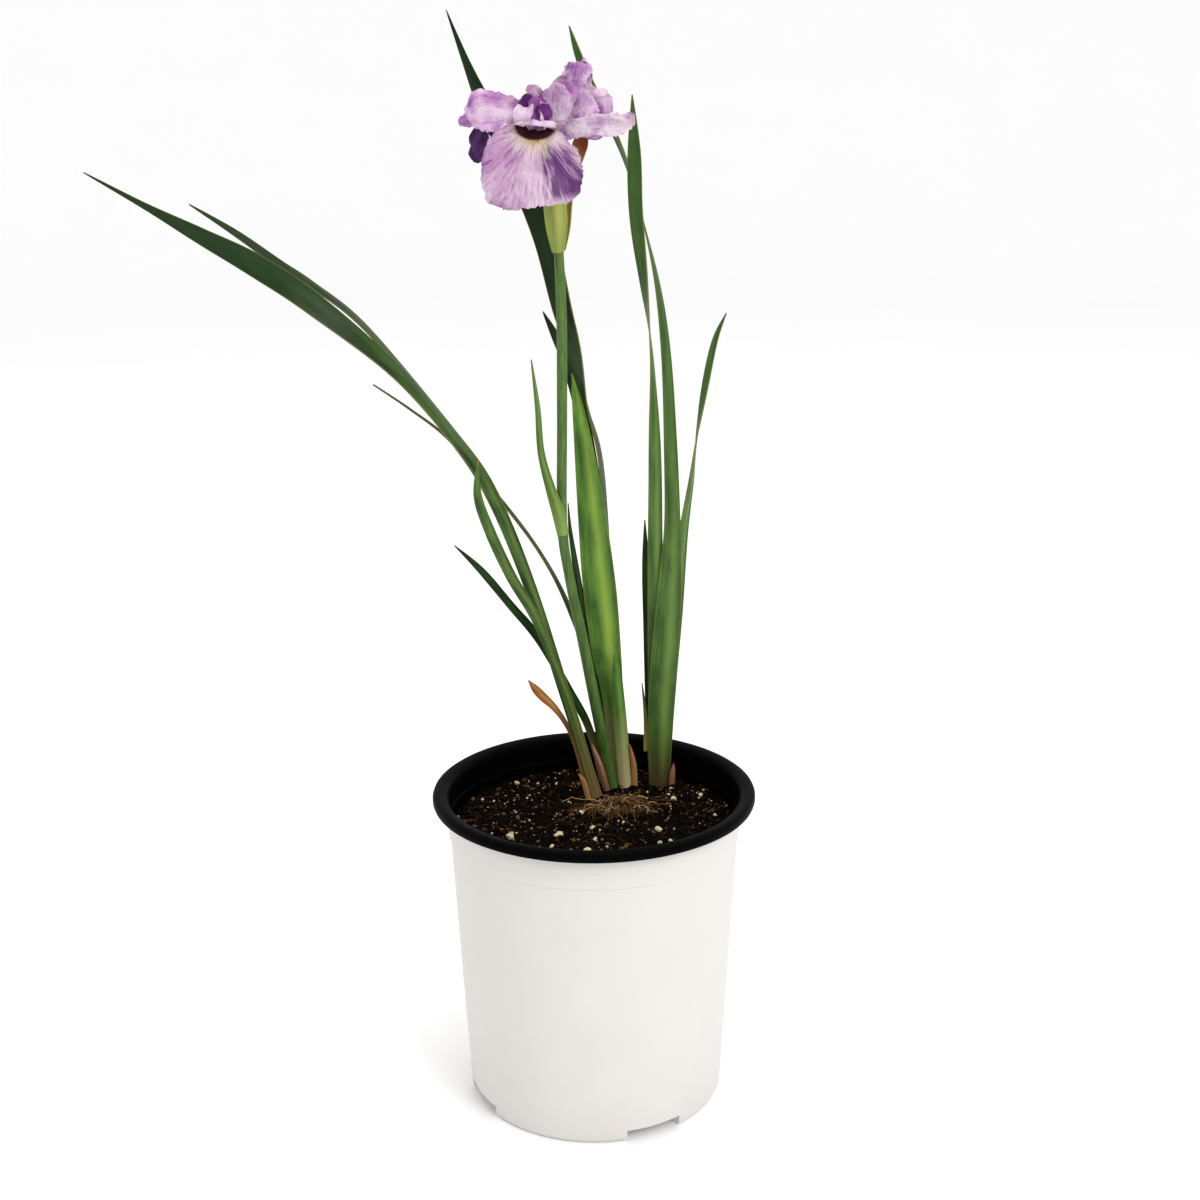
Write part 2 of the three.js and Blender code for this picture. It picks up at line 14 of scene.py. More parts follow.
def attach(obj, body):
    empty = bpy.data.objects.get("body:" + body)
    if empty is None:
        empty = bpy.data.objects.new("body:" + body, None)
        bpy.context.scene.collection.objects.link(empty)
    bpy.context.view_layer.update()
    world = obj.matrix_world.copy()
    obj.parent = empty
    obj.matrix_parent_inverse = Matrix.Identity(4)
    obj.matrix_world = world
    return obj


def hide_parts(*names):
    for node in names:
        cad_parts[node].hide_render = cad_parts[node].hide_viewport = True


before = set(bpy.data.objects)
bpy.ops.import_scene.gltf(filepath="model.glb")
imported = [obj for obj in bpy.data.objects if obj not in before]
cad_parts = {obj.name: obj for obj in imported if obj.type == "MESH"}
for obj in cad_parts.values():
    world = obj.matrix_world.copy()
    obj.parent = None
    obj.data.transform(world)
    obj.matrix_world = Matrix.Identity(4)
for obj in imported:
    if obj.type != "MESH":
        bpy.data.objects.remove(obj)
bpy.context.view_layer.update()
MM = 0.001

# %% [markdown]
# The camera stands at the height of the flower, about four and a half pot widths in front, and looks down
# by 15.6 degrees. A 48 mm lens on the usual 36 mm sensor gives a narrow view with little distortion. The
# standard view with some contrast keeps the whites clean and the greens and violets full.

# %% Camera
EYE = Vector((-5.4, -765.5, 477.9)) * MM
YAW, PITCH, ROLL = (math.radians(a) for a in (0.68, 15.59, -0.34))

forward = Vector((math.sin(YAW) * math.cos(PITCH), math.cos(YAW) * math.cos(PITCH), -math.sin(PITCH)))
level = forward.cross(Vector((0, 0, 1))).normalized()
upright = level.cross(forward)
right = level * math.cos(ROLL) + upright * math.sin(ROLL)
up = upright * math.cos(ROLL) - level * math.sin(ROLL)
camera_data = bpy.data.cameras.new("camera")
camera_data.lens = 48
camera_data.sensor_width = 36
camera = bpy.data.objects.new("camera", camera_data)
camera.matrix_world = Matrix.Translation(EYE) @ Matrix((right, up, -forward)).transposed().to_4x4()
bpy.context.collection.objects.link(camera)
bpy.context.scene.camera = camera
bpy.context.scene.view_settings.view_transform = "Standard"
bpy.context.scene.view_settings.look = "Medium High Contrast"
print("camera at", [round(v, 3) for v in EYE])

# %% [markdown]
# ## Helpers for finishes
# Colours are written as sRGB hex values, as a colour picker shows them, and one function turns them to the
# linear values that shaders use. One more function adds a node, sets it up and links it, so that a finish
# below reads as a list of what it is made of.


# %% Colour and node helpers
def linear(hex_colour):
    parts = [int(hex_colour[i : i + 2], 16) / 255 for i in (1, 3, 5)]
    return tuple(c / 12.92 if c <= 0.04045 else ((c + 0.055) / 1.055) ** 2.4 for c in parts) + (1,)


def add(tree, kind, inputs=None, out=0, **settings):
    """Adds a node and gives back one of its outputs. An input is a value or another node's output."""
    made = tree.nodes.new(kind)
    for key, value in settings.items():
        setattr(made, key, value)
    for key, value in (inputs or {}).items():
        if isinstance(value, bpy.types.NodeSocket):
            tree.links.new(value, made.inputs[key])
        else:
            made.inputs[key].default_value = linear(value) if isinstance(value, str) else value
    return made.outputs[out]


def start(name, **values):
    """A new material and its main shader, with plain numbers set on the shader's own sockets."""
    made = bpy.data.materials.new(name)
    made.use_nodes = True
    shader = made.node_tree.nodes["Principled BSDF"]
    for key, value in values.items():
        shader.inputs[key.replace("_", " ")].default_value = value
    return made, made.node_tree, shader


def mixed(tree, share, first, second):
    return add(tree, "ShaderNodeMix", {0: share, 6: first, 7: second}, out=2, data_type="RGBA")


def worked(tree, operation, a, b=0.0, clamp=False):
    return add(tree, "ShaderNodeMath", {0: a, 1: b}, operation=operation, use_clamp=clamp)


# %% [markdown]
# ## The pot's plastic
# The pot is polypropylene made in two layers: white outside to keep the roots cool, black inside to keep the
# light out. The rolled lip shows the black layer. Both are satin, with a slight unevenness left by forming
# the warm sheet, which breaks up the highlight.


# %% Plastics
def plastic(name, colour, worn, roughness, shine):
    made, tree, shader = start(name, IOR=1.49, Specular_IOR_Level=shine)
    place = add(tree, "ShaderNodeTexCoord", out=3)
    cloud = add(tree, "ShaderNodeTexNoise", {"Vector": place, "Scale": 28.0, "Detail": 4.0})
    tree.links.new(mixed(tree, cloud, colour, worn), shader.inputs["Base Color"])
    grain = add(tree, "ShaderNodeTexNoise", {"Vector": place, "Scale": 420.0, "Detail": 2.0})
    rough = add(tree, "ShaderNodeMapRange", {"Value": grain, "To Min": roughness, "To Max": roughness + 0.12})
    tree.links.new(rough, shader.inputs["Roughness"])
    ripple = add(tree, "ShaderNodeTexNoise", {"Vector": place, "Scale": 60.0, "Detail": 3.0})
    bump = add(tree, "ShaderNodeBump", {"Height": ripple, "Strength": 0.06, "Distance": 0.001})
    tree.links.new(bump, shader.inputs["Normal"])
    return made


WHITE_PLASTIC = plastic("white_polypropylene", "#d9d6d2", "#d2cecb", 0.36, 0.4)
BLACK_PLASTIC = plastic("black_polypropylene", "#020202", "#050506", 0.42, 0.05)

# %% [markdown]
# ## The pot
# A pot like this is one sheet drawn down into a mould: a slightly tapered wall, two small steps under a
# rolled lip, and four notches at the foot for drainage. It could be a lathe curve, but a disc whose face is
# extruded ring by ring, up the outside, over the lip and down the inside, gives the same solid by hand.


# %% Editing helpers
def clear_selection():
    if bpy.context.object and bpy.context.object.mode != "OBJECT":
        bpy.ops.object.mode_set(mode="OBJECT")
    bpy.ops.object.select_all(action="DESELECT")


def select_only(*pieces):
    clear_selection()
    for piece in pieces:
        piece.select_set(True)
    bpy.context.view_layer.objects.active = pieces[0]


def apply_modifier(piece, kind, **settings):
    select_only(piece)
    modifier = piece.modifiers.new(kind.lower(), kind)
    for key, value in settings.items():
        setattr(modifier, key, value)
    bpy.ops.object.modifier_apply(modifier=modifier.name)


def finish_piece(piece, nodes=(), angle=40):
    """Smooths a piece, hangs it on the frame and lets it stand for its CAD nodes."""
    select_only(piece)
    bpy.ops.object.shade_smooth_by_angle(angle=math.radians(angle))
    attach(piece, "root")
    if nodes:
        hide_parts(*nodes)
    return piece


# %% Pot sizes
RIM, HEIGHT, LIP = 82.5, 165.0, 5.5
MOUTH, FOOT, WALL = 75.6, 66.6, 1.5
STEPS = (151.0, 142.5)
STEP = 0.8
SIDES = 160


def wall_radius(z):
    """The wall's outer radius at height z: a taper with two steps near the top."""
    if z > STEPS[1] + 1:
        return MOUTH if z > STEPS[0] + 1 else MOUTH - STEP
    return FOOT + (MOUTH - 2 * STEP - FOOT) * z / STEPS[1]


OUTSIDE = [
    (FOOT - 2.2, 0), (FOOT - 1.2, 0.25), (FOOT - 0.4, 1.1), (FOOT, 2.6), (wall_radius(40), 40),
    (wall_radius(95), 95), (MOUTH - 2 * STEP, STEPS[1]), (MOUTH - STEP - 0.15, STEPS[1] + 0.45),
    (MOUTH - STEP, STEPS[1] + 1.1), (MOUTH - STEP, STEPS[0]), (MOUTH - 0.15, STEPS[0] + 0.45),
    (MOUTH, STEPS[0] + 1.1), (MOUTH, HEIGHT - LIP - 0.5),
]
ROLL_OVER = [
    (MOUTH + 0.6, HEIGHT - LIP), (RIM - 1.4, HEIGHT - LIP + 0.1), (RIM - 0.4, HEIGHT - LIP + 0.7),
    (RIM, HEIGHT - LIP + 1.8), (RIM, HEIGHT - 2.2), (RIM - 0.5, HEIGHT - 0.9), (RIM - 1.6, HEIGHT - 0.15),
    (RIM - 3, HEIGHT), (RIM - 5, HEIGHT - 0.35), (MOUTH + 0.2, HEIGHT - 1.1), (MOUTH - 0.9, HEIGHT - 2.2),
    (MOUTH - WALL, HEIGHT - 3.8),
]
INSIDE = [
    (MOUTH - WALL, STEPS[0] + 1.1), (MOUTH - WALL - STEP, STEPS[0]), (MOUTH - WALL - STEP, STEPS[1] + 1.1),
    (MOUTH - WALL - 2 * STEP, STEPS[1]), (wall_radius(60) - WALL, 60), (FOOT - WALL, 3.5),
    (FOOT - WALL - 1.8, WALL),
]

# %% Extrude the pot
clear_selection()
bpy.ops.mesh.primitive_circle_add(vertices=SIDES, radius=OUTSIDE[0][0] * MM, fill_type="NGON")
pot = bpy.context.object
pot.name = "pot_shell"
bpy.ops.object.mode_set(mode="EDIT")
bpy.ops.mesh.select_all(action="SELECT")
radius, height = OUTSIDE[0]
for next_radius, next_height in OUTSIDE[1:] + ROLL_OVER + INSIDE:
    bpy.ops.mesh.extrude_region_move(TRANSFORM_OT_translate={"value": (0, 0, (next_height - height) * MM)})
    share = next_radius / radius
    bpy.ops.transform.resize(value=(share, share, 1), center_override=(0, 0, next_height * MM))
    radius, height = next_radius, next_height
bpy.ops.mesh.select_all(action="SELECT")
bpy.ops.mesh.normals_make_consistent(inside=False)
bpy.ops.object.mode_set(mode="OBJECT")
print("pot of", len(pot.data.polygons), "faces")

# %% [markdown]
# Each drain notch is a dent in the foot, and the floor inside rises over it. So a hood is joined to the pot
# first, and the notch is cut out of it afterwards. Both are sectors of a short drum: the hood stays inside
# the wall, and the cutter goes out through it.

# %% Drain notches
NOTCH_HEIGHT, NOTCH_REACH, NOTCH_ANGLE = 6.0, 20.0, 26.0
NOTCH_MIDDLES = [-64 + 90 * k for k in range(4)]


def sector(name, middle, half, inner, outer, low, high):
    """A block between two radii, low and high, half degrees each side of middle, by turning a rectangle."""
    clear_selection()
    bpy.ops.mesh.primitive_plane_add(size=1)
    block = bpy.context.object
    block.name = name
    for vertex in block.data.vertices:
        x, y = vertex.co.x + 0.5, vertex.co.y + 0.5
        vertex.co = Vector(((inner + (outer - inner) * x) * MM, 0, (low + (high - low) * y) * MM))
    bpy.ops.object.mode_set(mode="EDIT")
    bpy.ops.mesh.select_all(action="SELECT")
    bpy.ops.mesh.spin(steps=8, angle=math.radians(2 * half), center=(0, 0, 0), axis=(0, 0, 1))
    bpy.ops.mesh.select_all(action="SELECT")
    bpy.ops.mesh.remove_doubles(threshold=1e-6)
    bpy.ops.mesh.normals_make_consistent(inside=False)
    bpy.ops.object.mode_set(mode="OBJECT")
    turn = Matrix.Rotation(math.radians(middle), 4, "Z")
    low_end = min(vertex.co.y for vertex in block.data.vertices)
    sweep = math.radians(half) if low_end > -1e-6 else -math.radians(half)
    block.data.transform(turn @ Matrix.Rotation(-sweep, 4, "Z"))
    return block


for middle in NOTCH_MIDDLES:
    inner = FOOT - NOTCH_REACH
    spare = math.degrees(WALL / inner)
    hood = sector("hood", middle, NOTCH_ANGLE / 2 + spare, inner - WALL, FOOT - 0.6, 0.8, NOTCH_HEIGHT + WALL)
    cutter = sector("cutter", middle, NOTCH_ANGLE / 2, inner, FOOT + 6, -2, NOTCH_HEIGHT)
    apply_modifier(pot, "BOOLEAN", operation="UNION", object=hood, solver="EXACT")
    apply_modifier(pot, "BOOLEAN", operation="DIFFERENCE", object=cutter, solver="EXACT")
    for helper in (hood, cutter):
        bpy.data.objects.remove(helper)

pot.data.materials.clear()
pot.data.materials.append(WHITE_PLASTIC)
pot.data.materials.append(BLACK_PLASTIC)
for face in pot.data.polygons:
    reach = math.hypot(face.center.x, face.center.y) / MM
    high = face.center.z / MM
    on_lip = high > HEIGHT - LIP - 0.45
    in_cavity = reach < wall_radius(high) - 0.4 * WALL and high > NOTCH_HEIGHT + 0.5 * WALL
    face.material_index = 1 if on_lip or (in_cavity and high < HEIGHT - LIP) else 0
finish_piece(pot, ["pot"], angle=34)
print("pot shell of", len(pot.data.polygons), "faces")

# %% [markdown]
# ## Potting mix
# The mix is dark peat with fibres, bark crumbs and white perlite. Its top has hollows and heaps a few
# millimetres high. A displaced plane would do for the top alone, but the mix is a solid that fills the pot,
# so a fine grid is rounded to a disc, raised to the heaps and then extruded down the wall. Grains bigger
# than about a millimetre catch the light one by one, so they are real shapes and not only a bump.


# %% Peat, perlite, bark and root finishes
def granular(name, dark, pale, scale, roughness=0.95, depth=0.0006):
    made, tree, shader = start(name, Roughness=roughness, Specular_IOR_Level=0.08)
    place = add(tree, "ShaderNodeTexCoord", out=3)
    speck = add(tree, "ShaderNodeTexNoise", {"Vector": place, "Scale": scale, "Detail": 6.0,
                                             "Roughness": 0.7})
    tone = add(tree, "ShaderNodeMapRange", {"Value": speck, "From Min": 0.35, "From Max": 0.7})
    tree.links.new(mixed(tree, tone, dark, pale), shader.inputs["Base Color"])
    bump = add(tree, "ShaderNodeBump", {"Height": speck, "Strength": 0.8, "Distance": depth})
    tree.links.new(bump, shader.inputs["Normal"])
    return made


PEAT = granular("peat", "#020101", "#150e08", 700.0)
CRUMB = granular("peat_crumbs", "#050302", "#2b1e12", 400.0)
BARK = granular("bark_chips", "#3a2819", "#8a6644", 500.0)
PERLITE = granular("perlite", "#b8a67e", "#ece2c2", 900.0, 0.8, 0.0003)
HUSK = granular("chaff", "#3f2c1a", "#a8865a", 300.0)
FIBRE = granular("peat_fibre", "#1c120b", "#5e442c", 300.0)
ROOT = granular("dry_roots", "#2e1f13", "#8a6a45", 120.0, 0.75, 0.0002)
PALE_ROOT = granular("pale_roots", "#8a6d4a", "#d2b88e", 150.0, 0.75, 0.0002)

# %% Shape of the mix's top
SOIL = 146.4
SOIL_EDGE = MOUTH - STEP - WALL - 0.5


def soil_bump(x, y):
    """How far the mix stands above its level, in mm: the same hollows and heaps as the CAD node's."""
    hollow = -4.5 * math.exp(-((x + 17) ** 2 + (y - 30) ** 2) / 170)
    heap = 3 * math.exp(-((x - 48) ** 2 + (y - 22) ** 2) / 380)
    lumps = 0.7 * math.sin(x / 5.3 + 1) * math.sin(y / 6.1) + 0.5 * math.sin((x + y) / 3.7)
    calm = 1 - math.exp(-((x - 15) ** 2 + (y - 40) ** 2) / 900)
    return (hollow + heap + lumps) * calm


def soil_height(x, y):
    rough = noise.fractal(Vector((x / 7, y / 7, 3)), 0.8, 2.1, 5) * 1.3
    return SOIL + soil_bump(x, y) + rough


clear_selection()
bpy.ops.mesh.primitive_grid_add(x_subdivisions=150, y_subdivisions=150, size=2)
mix = bpy.context.object
mix.name = "peat_mix"
for vertex in mix.data.vertices:
    x, y = vertex.co.x, vertex.co.y
    x, y = SOIL_EDGE * x * math.sqrt(1 - y * y / 2), SOIL_EDGE * y * math.sqrt(1 - x * x / 2)
    vertex.co = Vector((x, y, soil_height(x, y))) * MM
bpy.ops.object.mode_set(mode="EDIT")
bpy.ops.mesh.select_all(action="SELECT")
bpy.ops.mesh.region_to_loop()
for next_radius, next_height in [(SOIL_EDGE, STEPS[1] + 1), (wall_radius(STEPS[1]) - WALL - 0.5, STEPS[1]),
                                 (FOOT - WALL - 0.5, 8.2)]:
    bpy.ops.mesh.extrude_region_move()
    bpy.ops.transform.resize(value=(1, 1, 0))
    bpy.ops.object.mode_set(mode="OBJECT")
    for vertex in mix.data.vertices:
        if vertex.select:
            angle = math.atan2(vertex.co.y, vertex.co.x)
            place = (next_radius * math.cos(angle), next_radius * math.sin(angle), next_height)
            vertex.co = Vector(place) * MM
    bpy.ops.object.mode_set(mode="EDIT")
bpy.ops.mesh.edge_face_add()
bpy.ops.mesh.select_all(action="SELECT")
bpy.ops.mesh.normals_make_consistent(inside=False)
bpy.ops.object.mode_set(mode="OBJECT")
mix.data.materials.append(PEAT)
finish_piece(mix, ["potting_mix"], angle=80)
print("mix of", len(mix.data.polygons), "faces")


# %% [markdown]
# Grains are scattered in code: four rough pebbles are made from an ico sphere, and their points are repeated
# with another size, turn and place for each grain. One kind of grain is all one mesh. A fixed seed makes
# the same scatter every time.


# %% Scattering helpers
def sheet_object(name, points, faces, material):
    data = bpy.data.meshes.new(name)
    data.from_pydata([tuple(p) for p in points], [], [tuple(f) for f in faces])
    data.validate()
    made = bpy.data.objects.new(name, data)
    bpy.context.collection.objects.link(made)
    data.materials.append(material)
    return made


def pebble(subdivisions, seed, roughness):
    clear_selection()
    bpy.ops.mesh.primitive_ico_sphere_add(subdivisions=subdivisions, radius=1)
    ball = bpy.context.object
    draw = np.random.default_rng(seed)
    points = np.array([v.co for v in ball.data.vertices])
    points *= 1 + draw.uniform(-roughness, roughness, (len(points), 1))
    faces = np.array([f.vertices for f in ball.data.polygons])
    bpy.data.objects.remove(ball)
    return points, faces


def turned(draw, flat=1.0):
    """A random turn that lays a grain's short side up if it is flat."""
    yaw, tip = draw.uniform(0, 2 * math.pi), draw.normal(0, 0.35 if flat < 1 else 2)
    return np.array(Matrix.Rotation(yaw, 3, "Z") @ Matrix.Rotation(tip, 3, "X"))


def scatter(name, material, count, sizes, seed, shape=(1, 0.85, 0.7), sink=0.25, keep=lambda x, y: True,
            subdivisions=1):
    draw = np.random.default_rng(seed)
    kinds = [pebble(subdivisions, seed + k, 0.22) for k in range(4)]
    points, faces, total, made = [], [], 0, 0
    while made < count:
        reach = (SOIL_EDGE - 1.5) * math.sqrt(draw.uniform())
        angle = draw.uniform(0, 2 * math.pi)
        x, y = reach * math.cos(angle), reach * math.sin(angle)
        size = sizes[0] + (sizes[1] - sizes[0]) * draw.uniform() ** 2.5
        turn = turned(draw, shape[2])
        if not keep(x, y):
            continue
        grain, cells = kinds[made % len(kinds)]
        placed = (grain * np.array(shape) * size / 2) @ turn.T
        placed += [x, y, soil_height(x, y) + size / 2 * shape[2] * (1 - 2 * sink)]
        points.append(placed * MM)
        faces.append(cells + total)
        total += len(grain)
        made += 1
    piece = sheet_object(name, np.concatenate(points), np.concatenate(faces), material)
    finish_piece(piece, angle=50)


def away_from_crown(x, y):
    return (x - 14) ** 2 / 26**2 + (y - 34) ** 2 / 22**2 > 1


def front_half(x, y):
    return y < -10 and away_from_crown(x, y)


# %% Grains
scatter("peat_grains", CRUMB, 1500, (1.2, 4.2), 11, (1, 0.8, 0.6))
scatter("bark_crumbs", BARK, 240, (1.5, 5.5), 12, (1, 0.45, 0.3))
scatter("chaff_flakes", HUSK, 760, (0.7, 2.6), 15, (1, 0.6, 0.4), 0.25)
scatter("perlite_specks", PERLITE, 260, (0.5, 2.1), 13, (1, 0.8, 0.7), 0.1)
scatter("perlite_grains", PERLITE, 22, (2.2, 4.4), 14, (1, 0.8, 0.75), 0.25, away_from_crown, subdivisions=2)
scatter("front_perlite", PERLITE, 12, (2.4, 4.8), 18, (1, 0.8, 0.7), 0.25, front_half, subdivisions=2)

# %% [markdown]
# Fibres and roots are thin bent tubes. A tube could be a bevelled curve, but there are hundreds, so one
# function sweeps a small ring along each wandering path and puts all the tubes into one mesh.


# %% Tubes
def tube(path, radii, sides):
    """Points and faces of a closed round tube through path, in the path's units."""
    path = np.asarray(path, float)
    count = len(path)
    along = np.gradient(path, axis=0)
    along /= np.linalg.norm(along, axis=1)[:, None]
    side = np.cross(along[0], [0.31, 0.17, 0.93])
    points = []
    for i in range(count):
        side = side - along[i] * side.dot(along[i])
        side /= np.linalg.norm(side)
        other = np.cross(along[i], side)
        angles = np.arange(sides) * 2 * math.pi / sides
        ring = np.outer(np.cos(angles), side) + np.outer(np.sin(angles), other)
        points.append(path[i] + ring * radii[i])
    faces = []
    for i in range(count - 1):
        for j in range(sides):
            k = (j + 1) % sides
            faces.append((i * sides + j, i * sides + k, (i + 1) * sides + k, (i + 1) * sides + j))
    faces.append(tuple(range(sides))[::-1])
    faces.append(tuple((count - 1) * sides + j for j in range(sides)))
    return np.concatenate(points), faces


def strands(name, material, paths, sides=5, nodes=()):
    points, faces, total = [], [], 0
    for path, radii in paths:
        ring, cells = tube(path, radii, sides)
        points.append(ring * MM)
        faces += [tuple(i + total for i in cell) for cell in cells]
        total += len(ring)
    piece = sheet_object(name, np.concatenate(points), faces, material)
    return finish_piece(piece, nodes, angle=60)


def wandering(draw, x, y, length, lift, radius, wobble=0.5, steps=12, heading=None):
    """A strand that starts at x, y and wanders over the mix, lift mm above it in the middle."""
    heading = draw.uniform(0, 2 * math.pi) if heading is None else heading
    path = []
    for i in range(steps):
        share = i / (steps - 1)
        z = soil_height(x, y) + radius + lift * math.sin(math.pi * share) * (0.6 + 0.4 * math.sin(share * 9))
        path.append((x, y, z))
        heading += draw.normal(0, wobble)
        x += math.cos(heading) * length / steps
        y += math.sin(heading) * length / steps
        if math.hypot(x, y) > SOIL_EDGE - 2:
            x, y = x * 0.97, y * 0.97
    shares = [i / (steps - 1) for i in range(steps)]
    return path, [radius * (0.45 + 0.55 * math.sin(math.pi * (0.15 + 0.7 * share))) for share in shares]


# %% Fibres in the mix
draw = np.random.default_rng(21)
fibres = []
for _ in range(130):
    reach, angle = (SOIL_EDGE - 6) * math.sqrt(draw.uniform()), draw.uniform(0, 2 * math.pi)
    x, y = reach * math.cos(angle), reach * math.sin(angle)
    fibres.append(wandering(draw, x, y, draw.uniform(6, 20), draw.uniform(0.2, 2.4), draw.uniform(0.12, 0.3)))
strands("peat_fibres", FIBRE, fibres, 4)

# %% [markdown]
# In front of the shoots lies a mat of old, dry, hair-thin roots that grew out over the mix. It could be hair
# curves, but those don't leave Blender as a mesh, so it is a heap of the same thin tubes, denser in its
# middle, brown with some paler ones. Most run forwards and to the left, away from the shoots.

# %% Root mat
ROOT_COUNT = 260
ROOT_HEADINGS = (-120, -112, -104, -135, -40)

draw = np.random.default_rng(33)
mat, pale = [], []
for k in range(ROOT_COUNT):
    x, y = 15 + draw.normal(0, 6.5), 24 + draw.normal(0, 4.5)
    middle = math.exp(-((x - 13) ** 2 + (y - 14) ** 2) / 170)
    heading = math.radians(draw.choice(ROOT_HEADINGS) + draw.normal(0, 14))
    strand = wandering(draw, x, y, draw.uniform(10, 28), draw.uniform(0.8, 8.6) * middle + 0.3,
                       draw.uniform(0.12, 0.34), 0.26, 14, heading)
    (pale if k % 5 == 0 else mat).append(strand)
strands("root_mat_strands", ROOT, mat, 5, ["root_mat"])
strands("pale_root_strands", PALE_ROOT, pale, 5)
print("fibres", len(fibres), "roots", len(mat) + len(pale))

# %% [markdown]
# ## Leaves
# An iris leaf is one flat sword-shaped blade that can turn on itself on its way up. It could be extruded
# section by section, but each section has to turn with the blade, so a flat grid is added and its points are
# moved on to the blade's spine in code. Each leaf is given by rows of x, y, z, width, turn and cup in mm and
# degrees, and a smooth curve runs through the rows. They are the CAD model's rows, but the foot is set about
# 3 mm lower, in the mix.


# %% Blade helpers
def row_at(rows, t):
    """Rows of numbers as smooth curves, read at each t from 0 (first row) to 1 (last row)."""
    rows = np.asarray(rows, float)
    place = np.clip(t, 0, 1) * (len(rows) - 1)
    i = np.minimum(place.astype(int), len(rows) - 2)
    before, after = np.maximum(i - 1, 0), np.minimum(i + 2, len(rows) - 1)
    p, q = rows[i], rows[i + 1]
    m, n = (q - rows[before]) / 2, (rows[after] - p) / 2
    s = (place - i)[..., None]
    return p + s * (m + s * (3 * (q - p) - 2 * m - n + s * (2 * (p - q) + m + n)))


def spine(rows, t):
    """Centre, side, normal, width and cup of a blade at each t. A blade with turn 0 faces -Y."""
    now = row_at(rows, t)
    along = row_at(rows, t + 0.004)[:, :3] - row_at(rows, t - 0.004)[:, :3]
    along /= np.linalg.norm(along, axis=1)[:, None]
    side = np.cross([0, 1, 0], along)
    side /= np.linalg.norm(side, axis=1)[:, None]
    turn = np.radians(now[:, 4])[:, None]
    side = side * np.cos(turn) + np.cross(along, side) * np.sin(turn)
    return now[:, :3], side, np.cross(along, side), now[:, 3], now[:, 5]


def sheet(name, across, along, shape, marks):
    """A grid whose points go to shape(u, v); marks(u, v) gives named values that its finish reads."""
    clear_selection()
    bpy.ops.mesh.primitive_grid_add(x_subdivisions=across, y_subdivisions=along, size=2)
    piece = bpy.context.object
    piece.name = piece.data.name = name
    flat = np.zeros(len(piece.data.vertices) * 3)
    piece.data.vertices.foreach_get("co", flat)
    u, v = flat.reshape(-1, 3)[:, 0], (flat.reshape(-1, 3)[:, 1] + 1) / 2
    piece.data.vertices.foreach_set("co", (shape(u, v) * MM).ravel())
    for key, values in marks(u, v).items():
        piece.data.attributes.new(key, "FLOAT", "POINT").data.foreach_set("value", values)
    return piece


def thickened(piece, thickness, nodes, material, angle=60):
    apply_modifier(piece, "SOLIDIFY", thickness=thickness * MM, offset=0)
    piece.data.materials.append(material)
    return finish_piece(piece, nodes, angle)


ACROSS, STATIONS = 12, 90


def blade(name, rows, material, thickness=0.7, keel=0.35, wave=0.25, nodes=None):
    """A leaf or bract. keel folds it a little along its middle, and wave ripples its edges."""
    rows = [tuple(row) + (0,) * (6 - len(row)) for row in rows]
    steps = np.diff(np.array([row[:3] for row in rows]), axis=0)
    length = float(np.linalg.norm(steps, axis=1).sum())
    phase = sum(ord(letter) for letter in name) * 0.7

    def shape(u, v):
        centre, side, normal, width, cup = spine(rows, v)
        width = np.maximum(width, 0.35)
        fold = keel * (np.abs(u) - 0.5) * np.minimum(1, width / 8)
        ripple = wave * u * np.abs(u) * np.sin(v * length / 16 + phase + u) * np.minimum(1, width / 6)
        out = (cup * u**2 + fold + ripple)[:, None]
        return centre + side * (u * width / 2)[:, None] + normal * out

    def marks(u, v):
        return {"across": u, "from_base": v * length * MM, "to_tip": (1 - v) * length * MM}

    piece = sheet(name, ACROSS, STATIONS, shape, marks)
    return thickened(piece, thickness, nodes if nodes is not None else [name], material)


# %% [markdown]
# A leaf's finish follows the blade: fine parallel veins about half a millimetre apart, a paler yellow-green
# band beside the middle low down, thin olive-brown edges, a pale or brownish foot, and a dry brown or
# orange tip. Its wax makes it satin. An image could give all that, but named values on the mesh, across the
# blade and along it in metres, let one finish fit every leaf.


